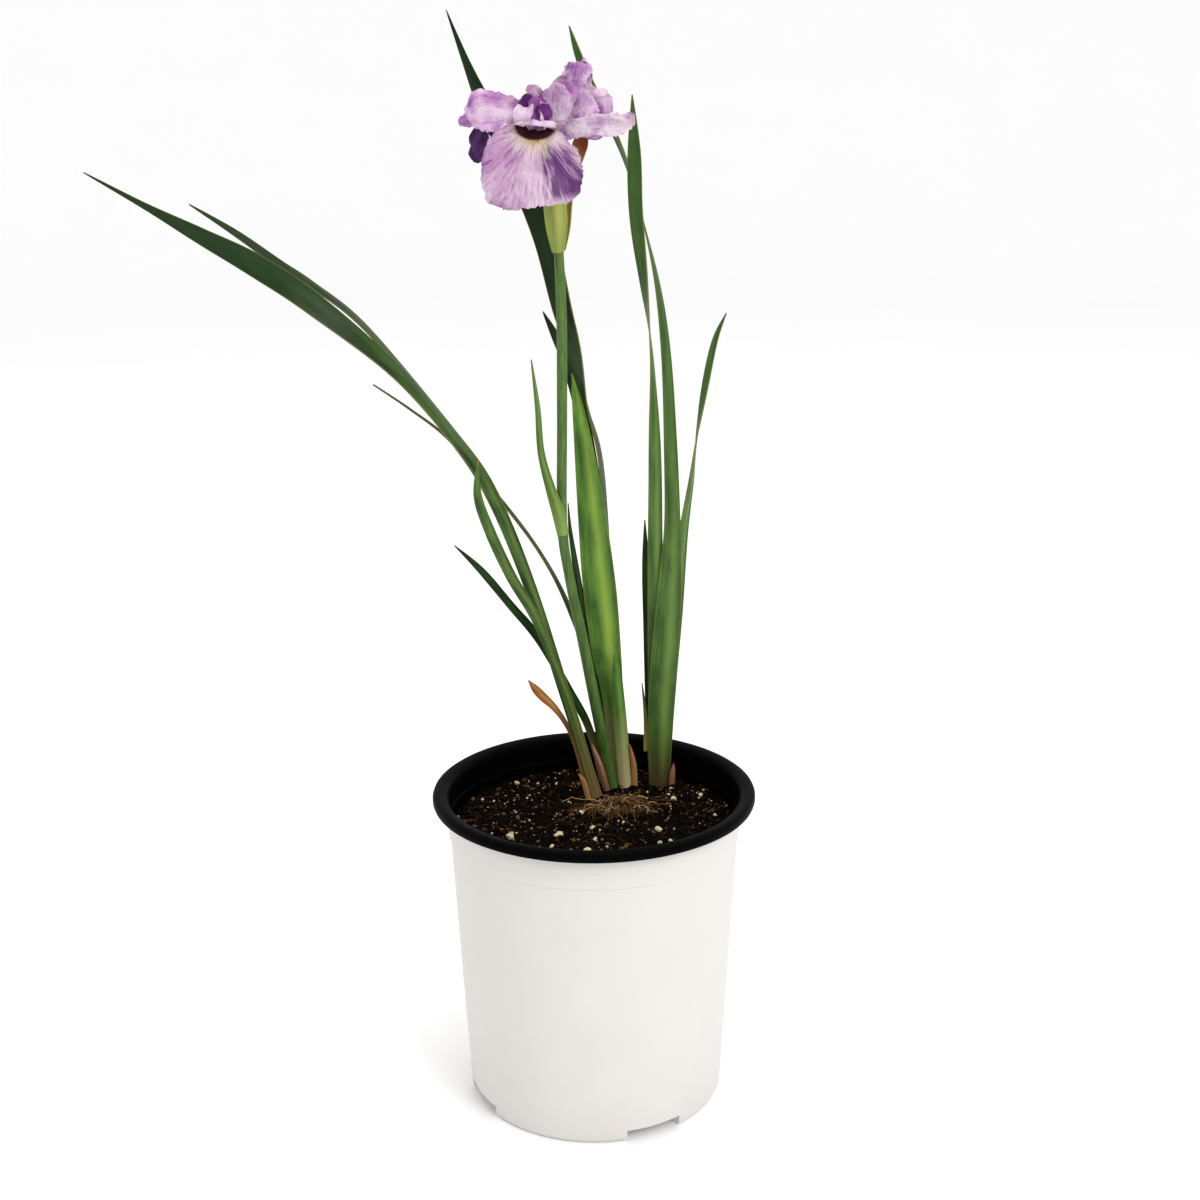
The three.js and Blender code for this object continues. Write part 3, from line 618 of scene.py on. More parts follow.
# %% Leaf finish
def leaf_finish(name, mid, deep, band, tip="#7d5a34", base="#b9b878", band_share=0.6, dry=0.006, upper_shade=0.0):
    made, tree, shader = start(name, IOR=1.45, Specular_IOR_Level=0.3, Subsurface_Weight=0.06,
                               Subsurface_Scale=0.002)
    across = add(tree, "ShaderNodeAttribute", out=2, attribute_name="across")
    from_base = add(tree, "ShaderNodeAttribute", out=2, attribute_name="from_base")
    to_tip = add(tree, "ShaderNodeAttribute", out=2, attribute_name="to_tip")
    grain_place = add(tree, "ShaderNodeCombineXYZ", {0: worked(tree, "MULTIPLY", across, 9.0),
                                                     1: worked(tree, "MULTIPLY", from_base, 14.0)})
    veins = add(tree, "ShaderNodeTexNoise", {"Vector": grain_place, "Scale": 1.6, "Detail": 3.0})
    thread = worked(tree, "MULTIPLY", worked(tree, "SUBTRACT", veins, 0.5), 0.5)
    cloud_place = add(tree, "ShaderNodeCombineXYZ", {0: across, 1: worked(tree, "MULTIPLY", from_base, 45.0)})
    cloud = add(tree, "ShaderNodeTexNoise", {"Vector": cloud_place, "Scale": 0.8, "Detail": 3.0})
    tone = add(tree, "ShaderNodeMapRange", {"Value": worked(tree, "ADD", cloud, thread), "From Min": 0.36,
                                            "From Max": 0.6})
    colour = mixed(tree, tone, deep, mid)
    low = add(tree, "ShaderNodeMapRange", {"Value": from_base, "From Min": 0.03, "From Max": 0.24,
                                           "To Min": 1.0, "To Max": 0.15})
    beside = worked(tree, "ABSOLUTE", worked(tree, "SUBTRACT", across, 0.25))
    middle = add(tree, "ShaderNodeMapRange", {"Value": worked(tree, "ADD", beside, thread), "From Min": 0.05,
                                              "From Max": 0.55, "To Min": 1.0, "To Max": 0.0})
    share = worked(tree, "MULTIPLY", worked(tree, "MULTIPLY", low, middle), band_share)
    colour = mixed(tree, share, colour, band)
    # Painted shade: from 0.12 m to 0.27 m up the blade the colour darkens towards the deep green, by the
    # given share.
    far = add(tree, "ShaderNodeMapRange", {"Value": from_base, "From Min": 0.12, "From Max": 0.27,
                                           "To Min": 0.0, "To Max": upper_shade})
    colour = mixed(tree, far, colour, deep)
    foot = add(tree, "ShaderNodeMapRange", {"Value": from_base, "From Min": 0.004, "From Max": 0.034,
                                            "To Min": 0.8, "To Max": 0.0})
    colour = mixed(tree, foot, colour, base)
    rim = add(tree, "ShaderNodeMapRange", {"Value": worked(tree, "ABSOLUTE", across), "From Min": 0.9,
                                           "From Max": 1.0, "To Min": 0.0, "To Max": 0.5})
    colour = mixed(tree, rim, colour, "#8e8440")
    ragged = worked(tree, "ADD", to_tip, worked(tree, "MULTIPLY", worked(tree, "SUBTRACT", veins, 0.5), 0.02))
    end = add(tree, "ShaderNodeMapRange", {"Value": ragged, "From Min": dry * 0.5, "From Max": dry,
                                           "To Min": 1.0, "To Max": 0.0})
    colour = mixed(tree, end, colour, tip)
    tree.links.new(colour, shader.inputs["Base Color"])
    rough = add(tree, "ShaderNodeMapRange", {"Value": cloud, "To Min": 0.34, "To Max": 0.52})
    tree.links.new(rough, shader.inputs["Roughness"])
    bump = add(tree, "ShaderNodeBump", {"Height": veins, "Strength": 0.3, "Distance": 0.0003})
    tree.links.new(bump, shader.inputs["Normal"])
    return made


FRESH_LEAF = leaf_finish("fresh_iris_leaf", "#628838", "#3b6029", "#a9c257", base="#c9b48c", band_share=0.7)
SHOOT_LEAF = leaf_finish("young_iris_leaf", "#557234", "#30492a", "#7f9449", "#b0602f", "#8a7550", 0.4)
ARCHED_LEAF = leaf_finish("arched_iris_leaf", "#4f6d34", "#1d3617", "#7c914c", base="#8a7550", band_share=0.5,
                          upper_shade=0.9)
GREEN_LEAF = leaf_finish("green_iris_leaf", "#567539", "#3a582b", "#88a152", base="#54382a", band_share=0.55,
                         upper_shade=0.65)
# Painted shade: a darker copy of the leaf finish, for the leaves that stand in shade.
SHADED_LEAF = leaf_finish("shaded_iris_leaf", "#2b4a1c", "#0f230b", "#46672b", band_share=0.3, upper_shade=0.75)
SHEATH_LEAF = leaf_finish("sheathing_leaf", "#5c8438", "#3c632a", "#8aa851", base="#cdbd98", band_share=0.4)
DRY_LEAF = leaf_finish("dry_iris_leaf", "#b5814a", "#8a5a30", "#cfa76b", "#a3652f", "#a8845a", 0.4, 0.004)
PINK_SCALE = leaf_finish("papery_scale", "#d2ab92", "#a8745f", "#e6ccb4", "#9a5a4a", "#8a5a48", 0.4, 0.002)

# %% [markdown]
# Three fans of leaves rise from the crown. The left fan leans and arches out, the middle one holds the broad
# leaf, the tall leaf and the flower stalk, and the right one has two long leaves that turn edge-on.

# %% Left fan
CROWN = 146.6
LEFT_FAN = {
    "left_long_leaf": (ARCHED_LEAF, [
        (2, 31, CROWN, 5.6, 0), (-14, 29, 203, 5.8, 0), (-31, 26, 262, 6.2, 15), (-48, 22, 309, 7.5, 40),
        (-66, 18, 340, 8.5, 71), (-94, 14, 376, 9.5, 60), (-132, 7, 410, 11, 24), (-157, 3, 428, 11, 10),
        (-181, -1, 442, 7.6, 5), (-205, -5, 456, 3, 0), (-230, -10, 471, 0.5, 0)]),
    "left_slender_leaf": (ARCHED_LEAF, [
        (2, 32.8, CROWN, 5, 0), (-14, 31.2, 203, 5, 0), (-31, 28.6, 261, 5.4, 10), (-49, 26, 312, 6, 45),
        (-69, 24, 346, 7, 77), (-108, 19, 396, 6.6, 78), (-133, 16, 418, 5.8, 70), (-148, 15, 428, 4.6, 45),
        (-168, 12, 443, 3.2, 30), (-188, 10, 456, 0.5, 30)]),
    "left_short_leaf": (SHOOT_LEAF, [
        (2, 29.2, CROWN, 5, 0), (-12, 25.5, 200, 4.8, 0), (-27, 19.5, 245, 4.8, 5), (-41, 12.5, 274, 5.4, 8),
        (-51, 8, 299, 5.3, 10), (-56, 5, 317, 4, 10), (-55, 2, 335, 0.5, 0)]),
    "left_outer_leaf": (DRY_LEAF, [
        (-2.5, 34.6, CROWN, 3.4, 0), (-9, 33.5, 174, 3, 10), (-14, 32, 187, 2.6, 30), (-20, 30, 197, 3.4, 25),
        (-26, 28, 204, 4.6, 10), (-30, 27, 209, 4, 0), (-33.5, 26, 214, 0.5, 0)]),
}
for name, (material, rows) in LEFT_FAN.items():
    blade(name + "_blade", rows, material, nodes=[name])

# %% Middle fan
MIDDLE_FAN = {
    "broad_leaf": (FRESH_LEAF, [
        (14, 47.6, CROWN, 8, 0), (11, 48, 195, 11, 0), (7.5, 48.4, 223, 15.6, 0), (4, 49, 258, 17.5, 0),
        (0, 50, 299, 14.2, 0), (-4, 51, 335, 9.3, 0), (-7, 52, 356, 5, 0), (-9.5, 52.6, 370, 0.5, 0)]),
    "stalk_leaf": (SHADED_LEAF, [
        (10.5, 49.6, CROWN + 4, 3.4, 0), (5, 49.9, 196, 4.2, 0), (-3, 49.9, 234, 4, 0),
        (-8, 49.6, 266, 3.4, 10),
        (-11, 49.6, 288, 2, 10), (-12, 49.4, 303, 0.5, 0)]),
    "tall_leaf": (SHADED_LEAF, [
        (15, 51.2, CROWN, 5.6, 0), (12, 53, 215, 7, 40), (8.5, 55, 272, 9, 68), (5, 56, 325, 10, 80),
        (-1.5, 57, 352, 10.4, 92), (-8, 58, 380, 11, 128), (-14, 59, 402, 11.4, 152), (-22, 61, 436, 12, 165),
        (-34, 62, 467, 11.6, 175), (-51, 64, 501, 7.6, 180), (-60, 65, 522, 3.8, 180),
        (-69, 66, 546, 0.5, 180)]),
    "back_leaf": (SHADED_LEAF, [
        (14, 54.6, CROWN, 5.4, 0), (9, 58, 222, 5.4, 0), (4, 62, 293, 6, 0), (-3, 64, 340, 6.8, 0),
        (-11, 65, 371, 5.6, 0), (-18, 65.5, 388, 4.2, 0), (-24, 66, 400, 0.5, 0)]),
    "trailing_leaf": (SHADED_LEAF, [
        (11, 53, CROWN, 4.4, 0), (3, 53, 200, 4.2, 30), (-12, 48, 247, 4.4, 62), (-27, 41, 279, 4, 79),
        (-48, 37, 310, 3.6, 80), (-71, 34, 339, 2.8, 78), (-90, 32, 355, 1.4, 76), (-108, 30, 368, 0.5, 70)]),
    "crossing_leaf": (SHADED_LEAF, [
        (5.5, 47.2, CROWN + 1, 3.4, 0), (-2, 44.5, 180, 4.2, 20), (-13, 41, 204, 4.4, 10),
        (-28, 37, 233, 4.5, 10), (-42, 34, 252, 4.2, 32), (-57, 31, 272, 3.6, 12), (-70, 28, 286, 0.5, 0)]),
    "low_sheath": (SHEATH_LEAF, [
        (17.5, 42.6, CROWN, 6.4, 0, 1), (15.6, 42.4, 172, 6.8, 0, 1), (13.8, 42.6, 196, 6.4, 0, 0.8),
        (12.8, 43.2, 212, 4.8, 0, 0.3), (11.6, 44, 222, 0.5, 0)]),
}
for name, (material, rows) in MIDDLE_FAN.items():
    blade(name + "_blade", rows, material, nodes=[name])

# %% Right fan
RIGHT_FAN = {
    "right_front_leaf": (GREEN_LEAF, [
        (36, 43, CROWN, 10.4, 0, 0.6), (36.5, 43, 185, 13.4, 0, 0.6), (38.5, 43, 222, 14.4, 0, 0.3),
        (41, 43.2, 262, 12, 0), (42, 44.5, 294, 8.4, 0), (41, 48, 333, 7, 8), (39, 52, 375, 5.8, 30),
        (35, 54.5, 411, 5.2, 60), (28.5, 57, 440, 4.9, 82), (17, 59, 478, 5, 112), (-2, 61, 518, 4.6, 145),
        (-9, 62, 538, 0.5, 160)]),
    "right_tall_leaf": (GREEN_LEAF, [
        (34.5, 45.2, CROWN, 8.6, 0), (34, 45.3, 206, 8.8, 1), (33.2, 45.2, 268, 8, 2),
        (33, 44.6, 320, 7.2, 22),
        (32, 43, 363, 7, 62), (30, 42, 389, 6.7, 86), (27, 41, 417, 6.6, 125), (23, 40, 449, 7, 158),
        (22, 39, 478, 6.5, 172), (21, 38, 505, 0.5, 180)]),
    "right_leaning_leaf": (GREEN_LEAF, [
        (37, 49, CROWN, 6.4, 0), (40, 49, 196, 8.4, 0), (44, 48.8, 241, 8, 10), (48, 48, 287, 6.8, 44),
        (52, 45, 317, 5.8, 66), (54.5, 41, 342, 5, 92), (58, 36, 368, 4.4, 130), (62, 32, 389, 3, 150),
        (67, 30, 402, 0.5, 160)]),
    "right_back_leaf": (SHADED_LEAF, [
        (32.6, 50.8, CROWN, 4, 0), (31, 51, 185, 4.6, 0), (29.6, 51.4, 230, 4.4, 0), (28.6, 52, 268, 4, 0),
        (28, 52.4, 293, 0.5, 0)]),
}
for name, (material, rows) in RIGHT_FAN.items():
    blade(name + "_blade", rows, material, nodes=[name])

# %% Dry scales round the feet
SCALES = {
    "left_scale": (DRY_LEAF, [(-2.4, 27, CROWN, 3, 20, 0.8), (-5, 25.6, 157, 2.6, 20, 0.6),
                              (-8, 25, 162, 0.5, 30)]),
    "pink_scale": (PINK_SCALE, [(7, 38.4, CROWN, 3.6, -10, 0.8), (3.6, 38, 161, 3.4, -10, 0.6),
                                (-0.6, 38, 174, 0.5, 0)]),
    "pale_scale": (DRY_LEAF, [(22.6, 42.6, CROWN, 3.2, 10, 0.8), (22, 42.4, 160, 2.8, 10, 0.6),
                              (19.6, 42.2, 172, 0.5, 0)]),
    "right_scale": (PINK_SCALE, [(42.6, 41.6, CROWN, 3, 10, 0.8), (43, 41.4, 155, 2.6, 10, 0.6),
                                 (43.4, 41.4, 161, 0.5, 0)]),
    "side_scale": (SHADED_LEAF, [(28.6, 46.8, 166, 2.4, 0), (28.4, 46.8, 186, 2.2, 0),
                                (26.4, 46.8, 205, 0.5, 0)]),
}
for name, (material, rows) in SCALES.items():
    blade(name + "_blade", rows, material, 0.4, nodes=[name])
print("blades", len(LEFT_FAN) + len(MIDDLE_FAN) + len(RIGHT_FAN) + len(SCALES))

# %% [markdown]
# ## Flower stalk
# The stalk is a smooth round stem, a little thicker at its foot, with one joint where a small leaf clasps
# it. A bevelled curve would give a round stem too, but the same tube that made the roots can also swell in a
# low ring at the joint, and its radius follows the rows. Its skin is a duller, greyer green than the leaves,
# with faint streaks along it.


# %% Stalk and bract finishes
def stem_finish(name, pale, dark, streak=90.0):
    made, tree, shader = start(name, Roughness=0.42, IOR=1.45, Subsurface_Weight=0.05, Subsurface_Scale=0.002)
    place = add(tree, "ShaderNodeTexCoord", out=3)
    long_way = add(tree, "ShaderNodeMapping", {"Vector": place, "Scale": (8.0, 8.0, 1.0)})
    lines = add(tree, "ShaderNodeTexNoise", {"Vector": long_way, "Scale": streak, "Detail": 4.0})
    tone = add(tree, "ShaderNodeMapRange", {"Value": lines, "From Min": 0.3, "From Max": 0.7})
    tree.links.new(mixed(tree, tone, dark, pale), shader.inputs["Base Color"])
    bump = add(tree, "ShaderNodeBump", {"Height": lines, "Strength": 0.2, "Distance": 0.0003})
    tree.links.new(bump, shader.inputs["Normal"])
    return made


STALK_SKIN = stem_finish("stalk_skin", "#5f7c38", "#3c5a28")
TUBE_SKIN = stem_finish("flower_tube_skin", "#a7b56a", "#7f9850")

# %% Stalk and flower tube
STALK = [(10.4, 43, CROWN, 3), (1, 40, 198, 3), (-4.5, 38, 229, 2.9), (-12, 36, 269, 2.6),
         (-15, 34, 296, 2.6),
         (-14.4, 30, 350, 2.6), (-14, 27, 399, 2.6), (-15, 24, 433.6, 2.4)]
TUBE = [(-15, 24, 433.2, 2.3), (-16, 23.2, 446, 2.7), (-18.6, 21.8, 462, 2.2), (-22, 20, 480, 2.8)]
JOINT = 290


def stem(name, rows, material, nodes, steps):
    smooth = row_at(rows, np.linspace(0, 1, steps))
    ridge = 0.35 * np.exp(-((smooth[:, 2] - JOINT) ** 2) / 3)
    return strands(name, material, [(smooth[:, :3], smooth[:, 3] + ridge)], 20, nodes)


stem("stalk_stem", STALK, STALK_SKIN, ["flower_stalk"], 160)
stem("flower_tube_stem", TUBE, TUBE_SKIN, ["flower_tube"], 30)

# %% [markdown]
# A small leaf clasps the stalk's joint, and two papery bracts wrap the flower's foot: yellow-green with
# brown margins, and quite dry at the tip of the back one. Each is a short blade, so the leaves' own helper
# makes it: a deep cup bends it round the stem, where a flat strip would stand off.

# %% Bracts
BRACT = leaf_finish("flower_bract", "#b2b860", "#75803c", "#cfd07c", "#8a5a34", "#7f9148", 0.6, 0.006)
STEM_LEAF = leaf_finish("stem_leaf", "#65843f", "#42602d", "#8ea656", "#8f4a34", "#86a055", 0.4)
BACK_BRACT = leaf_finish("drying_bract", "#c29a55", "#9c6f3c", "#cdb26c", "#8a5530", "#9fa858", 0.4, 0.02)
STALK_BRACT = [
    (-14.6, 30, 290, 5.4, 0, 2), (-16.8, 29.2, 302, 6.4, 0, 1.4), (-20.6, 28, 315, 5, 0, 0.4),
    (-25, 26, 334, 3.6, 0), (-26.4, 24, 357, 2.6, 0), (-29, 20, 381, 0.5, 0)]
FRONT_BRACT = [
    (-15.3, 19.9, 432, 5.6, -6, 1.4), (-16, 18.4, 443, 10, -6, 2.8), (-16.8, 17.4, 455, 10.8, -6, 3),
    (-18.4, 15.8, 467, 7.6, -6, 1.8), (-19.8, 14.6, 477, 1.6, -6, 0.2)]
BACK_BRACT_ROWS = [
    (-14.4, 28.2, 433, 5.6, 172, 1.4), (-13.6, 29, 444, 9.6, 168, 2.6), (-12.2, 28.8, 457, 10, 164, 2.6),
    (-8.6, 27.4, 469, 8, 160, 1.6), (-5.4, 26, 476, 6.5, 160, 0.6), (-4, 25, 482, 7.5, 170, 0.8),
    (-3, 24.6, 486.4, 5, 180, 0)]
blade("stalk_bract_blade", STALK_BRACT, STEM_LEAF, 0.6, nodes=["stalk_bract"])
blade("front_bract_blade", FRONT_BRACT, BRACT, 0.5, nodes=["front_bract"])
blade("back_bract_blade", BACK_BRACT_ROWS, BACK_BRACT, 0.5, 0.3, 0.8, nodes=["back_bract"])

# %% [markdown]
# ## Petals
# The flower has three falls, a broad one in front and a narrow one to each side, three standards, and pale
# style arms over the throat. The petals are crumpled, so each is a fine grid laid along its own line. Slow
# swells run all over it, quick frills only run along its edges, and its margin is finely frayed. Smaller
# lobes, flaps and curls fill the heart of the flower. Each row is x, y, z, width, turn and cup, from the
# claw to the tip, and `side` is the way that the petal's width points. Two named values, `fan` in radians
# and `reach` in mm, tell the finish where on the petal it is, seen from the heart that its veins run from.


# %% Petal helper
def swell(u, v, across, along, seed):
    return np.array([noise.noise(Vector((a * across, b * along, seed))) for a, b in zip(u, v)])


def petal(name, rows, side, material, nodes=(), crumple=1.6, frill=0.9, fray=0.6, seed=0.0,
          thickness=0.4, across=44, along=60, heart=None):
    rows = [tuple(row) + (0,) * (6 - len(row)) for row in rows]
    length = float(np.linalg.norm(np.diff(np.array([row[:3] for row in rows]), axis=0), axis=1).sum())
    mean_width = sum(row[3] for row in rows) / len(rows)

    def shape(u, v):
        ragged = swell(u, v, mean_width / 5, 0.5, seed + 9)
        ragged += 0.5 * swell(u, v, mean_width / 1.6, 0.5, seed + 8)
        now = row_at(rows, v * (1 + 0.05 * ragged * v**4))
        heading = row_at(rows, v + 0.01)[:, :3] - row_at(rows, v - 0.01)[:, :3]
        heading /= np.linalg.norm(heading, axis=1)[:, None]
        out = np.array(side, float) - heading * (heading @ np.array(side, float))[:, None]
        out /= np.linalg.norm(out, axis=1)[:, None]
        turn = np.radians(now[:, 4])[:, None]
        out = out * np.cos(turn) + np.cross(heading, out) * np.sin(turn)
        normal = np.cross(heading, out)
        width, cup = np.maximum(now[:, 3], 0.5), now[:, 5]
        edge = np.abs(u) ** 3
        margin = swell(np.sign(u), v, 1, length / 6, seed + 5)
        margin += 0.6 * swell(np.sign(u), v, 1, length / 2, seed + 6)
        margin += 0.4 * swell(np.sign(u), v, 1, length, seed + 7)
        wide = width / 2 * u + np.sign(u) * fray * margin * edge * np.minimum(1, width / 8)
        grown = np.minimum(1, width / 14)
        slow = swell(u, v, mean_width / 16, length / 14, seed)
        slow += 0.5 * swell(u, v, mean_width / 7, length / 7, seed + 1)
        quick = swell(np.sign(u), v, 1, length / 5.5, seed + 2)
        lift = cup * u**2 + grown * (crumple * slow + frill * 1.8 * quick * np.abs(u) ** 2.5)
        return now[:, :3] + out * wide[:, None] + normal * lift[:, None]

    def marks(u, v):
        if heart is None:
            return {"across": u, "fan": u * 0.8, "reach": v * length}
        place = shape(u, v) - heart
        return {"across": u, "fan": np.arctan2(place[:, 0], -place[:, 2]),
                "reach": np.hypot(place[:, 0] / 1.6, place[:, 2])}

    piece = sheet(name, across, along, shape, marks)
    return thickened(piece, thickness, nodes, material)


# %% [markdown]
# Petal skin is velvety: tiny cone-shaped cells scatter light, so it has a soft sheen and no sharp highlight.
# Violet veins fan from the claw to the edge, on a ground that changes between nearly white and lilac.
# The front fall also has a dark wine-red throat, which is painted shadow under the style arms, a yellow patch
# with pale rays below the throat, and a broad violet flame that runs down its right half.


# %% Petal finish
def petal_finish(name, pale, mid, vein, vein_share=0.6, cloud_scale=75.0):
    made, tree, shader = start(name, Roughness=0.6, IOR=1.4, Specular_IOR_Level=0.2, Subsurface_Weight=0.08,
                               Subsurface_Scale=0.002, Sheen_Weight=0.08, Sheen_Roughness=0.5)
    across = add(tree, "ShaderNodeAttribute", out=2, attribute_name="across")
    fan = add(tree, "ShaderNodeAttribute", out=2, attribute_name="fan")
    reach = add(tree, "ShaderNodeAttribute", out=2, attribute_name="reach")
    place = add(tree, "ShaderNodeTexCoord", out=3)
    wide_fan = add(tree, "ShaderNodeCombineXYZ", {0: worked(tree, "MULTIPLY", fan, 7.5),
                                                  1: worked(tree, "MULTIPLY", reach, 0.055)})
    veins = add(tree, "ShaderNodeTexNoise", {"Vector": wide_fan, "Scale": 1.4, "Detail": 5.0,
                                             "Roughness": 0.62, "Distortion": 0.7})
    fine_fan = add(tree, "ShaderNodeCombineXYZ", {0: worked(tree, "MULTIPLY", fan, 26.0),
                                                  1: worked(tree, "MULTIPLY", reach, 0.11)})
    fine = add(tree, "ShaderNodeTexNoise", {"Vector": fine_fan, "Scale": 1.1, "Detail": 4.0,
                                            "Distortion": 0.5})
    cloud = add(tree, "ShaderNodeTexNoise", {"Vector": place, "Scale": cloud_scale, "Detail": 4.0})
    tone = add(tree, "ShaderNodeMapRange", {"Value": cloud, "From Min": 0.42, "From Max": 0.6})
    colour = mixed(tree, tone, pale, mid)
    lines = add(tree, "ShaderNodeMapRange", {"Value": veins, "From Min": 0.5, "From Max": 0.62})
    thin = add(tree, "ShaderNodeMapRange", {"Value": fine, "From Min": 0.52, "From Max": 0.66})
    both = worked(tree, "MAXIMUM", worked(tree, "MULTIPLY", lines, tone), worked(tree, "MULTIPLY", thin, 0.5))
    colour = mixed(tree, worked(tree, "MULTIPLY", both, vein_share), colour, vein)
    rim = add(tree, "ShaderNodeMapRange", {"Value": worked(tree, "ABSOLUTE", across), "From Min": 0.93,
                                           "From Max": 1.0, "To Min": 0.0, "To Max": 0.6})
    colour = mixed(tree, worked(tree, "MULTIPLY", rim, tone), colour, vein)
    tree.links.new(colour, shader.inputs["Base Color"])
    crease = add(tree, "ShaderNodeTexNoise", {"Vector": place, "Scale": 160.0, "Detail": 4.0,
                                              "Distortion": 1.2})
    folds = add(tree, "ShaderNodeBump", {"Height": crease, "Strength": 0.55, "Distance": 0.004})
    bump = add(tree, "ShaderNodeBump", {"Height": fine, "Strength": 0.4, "Distance": 0.0005, "Normal": folds})
    tree.links.new(bump, shader.inputs["Normal"])
    return made, tree, shader, fan, reach, veins, fine, colour


LILAC_PETAL = petal_finish("lilac_petal", "#dac2d6", "#bc8fc0", "#86449a", 0.75, 95.0)[0]
VIOLET_PETAL = petal_finish("violet_petal", "#5d3a70", "#442654", "#2c1440")[0]
PALE_PETAL = petal_finish("pale_petal", "#dac9d6", "#bf9fbd", "#8f5a9b", 0.6)[0]
WING_PETAL = petal_finish("wing_petal", "#d9cad2", "#b795b6", "#7f4791", 0.75, 110.0)[0]
PINK_PETAL = petal_finish("pink_petal", "#b987b8", "#98609b", "#6d387c")[0]
DARK_CREST = petal_finish("dark_crest", "#80448a", "#602c6c", "#401a52")[0]

# %% Front fall's own marks
FALL_PETAL, tree, shader, fan, reach, veins, fine, colour = petal_finish(
    "front_fall_petal", "#cfb7ca", "#b591b1", "#784084", 0.7, 60.0)
ragged = worked(tree, "MULTIPLY", worked(tree, "SUBTRACT", fine, 0.5), 2.4)
patchy = worked(tree, "MULTIPLY", worked(tree, "SUBTRACT", veins, 0.5), 3.4)
aside = worked(tree, "MULTIPLY", worked(tree, "ABSOLUTE", worked(tree, "SUBTRACT", fan, 0.5)), 3.4)
flame = worked(tree, "ADD", worked(tree, "ADD", worked(tree, "SUBTRACT", 1.45, aside), ragged), patchy)
begin = add(tree, "ShaderNodeMapRange", {"Value": reach, "From Min": 6.5, "From Max": 10.5})
end = add(tree, "ShaderNodeMapRange", {"Value": reach, "From Min": 31.0, "From Max": 35.0, "To Min": 1.0,
                                       "To Max": 0.0})
flame = worked(tree, "MULTIPLY", worked(tree, "MULTIPLY", flame, begin, True), end, True)
colour = mixed(tree, worked(tree, "MULTIPLY", flame, 0.85), colour, "#552f66")
middle = worked(tree, "MULTIPLY", worked(tree, "ABSOLUTE", fan), 3.0)
rays = worked(tree, "ADD", reach, worked(tree, "MULTIPLY", worked(tree, "SUBTRACT", fine, 0.5), -26.0))
rays = worked(tree, "ADD", rays, middle)
white = add(tree, "ShaderNodeMapRange", {"Value": rays, "From Min": 8.0, "From Max": 15.0, "To Min": 0.9,
                                         "To Max": 0.0})
colour = mixed(tree, white, colour, "#e2d8c8")
yellow = add(tree, "ShaderNodeMapRange", {"Value": rays, "From Min": 6.5, "From Max": 9.5, "To Min": 0.95,
                                          "To Max": 0.0})
colour = mixed(tree, yellow, colour, "#b99a45")
# Painted shadow: the throat, under the style arms, turns dark wine-red close to the heart.
throat_shadow = add(tree, "ShaderNodeMapRange", {"Value": reach, "From Min": 5.6, "From Max": 6.6, "To Min": 1.0,
                                          "To Max": 0.0})
colour = mixed(tree, throat_shadow, colour, "#3c141d")
tree.links.new(colour, shader.inputs["Base Color"])

# %% Falls
SIDEWAYS = (1, 0, 0)
UPWARDS = (0, 0.2, 1)
petal("front_fall_petal", [
    (-23, 18.6, 483.4, 5), (-24.2, 18, 488, 9, 0, 0.5), (-25, 14.6, 487.8, 19, 0, 2),
    (-26.3, 10.5, 485, 31, 0, 3),
    (-27.4, 6.5, 481.5, 40, 0, 2), (-27.4, 4, 476.5, 44.5, 0, 0.5), (-26.8, 2.5, 470.5, 47, 0, -0.5),
    (-25.8, 1.4, 464, 46.5, 0, -1.5), (-24.8, 0.6, 458.5, 42, 0, -1.5), (-24.2, 0.2, 454, 28, 0, -1)],
    SIDEWAYS, FALL_PETAL, nodes=["front_fall"], crumple=2.4, frill=1.4, fray=1.3, seed=1.0,
    across=90, along=110, heart=(-25, 0, 490))
petal("left_fall_petal", [
    (-25.6, 23.6, 483, 4), (-29.5, 25.5, 487.5, 6), (-38, 27, 490.5, 10, 0, 1), (-46, 28.5, 490, 13, 0, 1),
    (-51, 28.5, 487, 13.5), (-52.6, 28, 482, 12), (-52.6, 27.5, 478, 10), (-51.4, 27, 474.6, 5)],
    (0.85, -0.5, 0.1), VIOLET_PETAL, nodes=["left_fall"], crumple=2.4, frill=2.0, fray=1.2, seed=2.0)
petal("right_fall_petal", [
    (-18.4, 20.8, 483, 3.6), (-14.6, 19.8, 487, 5.5), (-9, 18.6, 488.8, 8, 0, 0.5), (-2, 18.5, 490, 9, 0, 1),
    (5, 19.6, 490.6, 10, 0, 1.6), (11, 20.6, 490.6, 10.5, 0, 2), (15.6, 21.8, 491.4, 10.5, 0, 1),
    (18.4, 22.5, 493.6, 8), (20, 23, 496.4, 3)],
    (0.1, 0.35, 1), WING_PETAL, nodes=["right_fall"], crumple=3.4, frill=2.8, fray=1.6, seed=3.2, across=60,
    along=80)

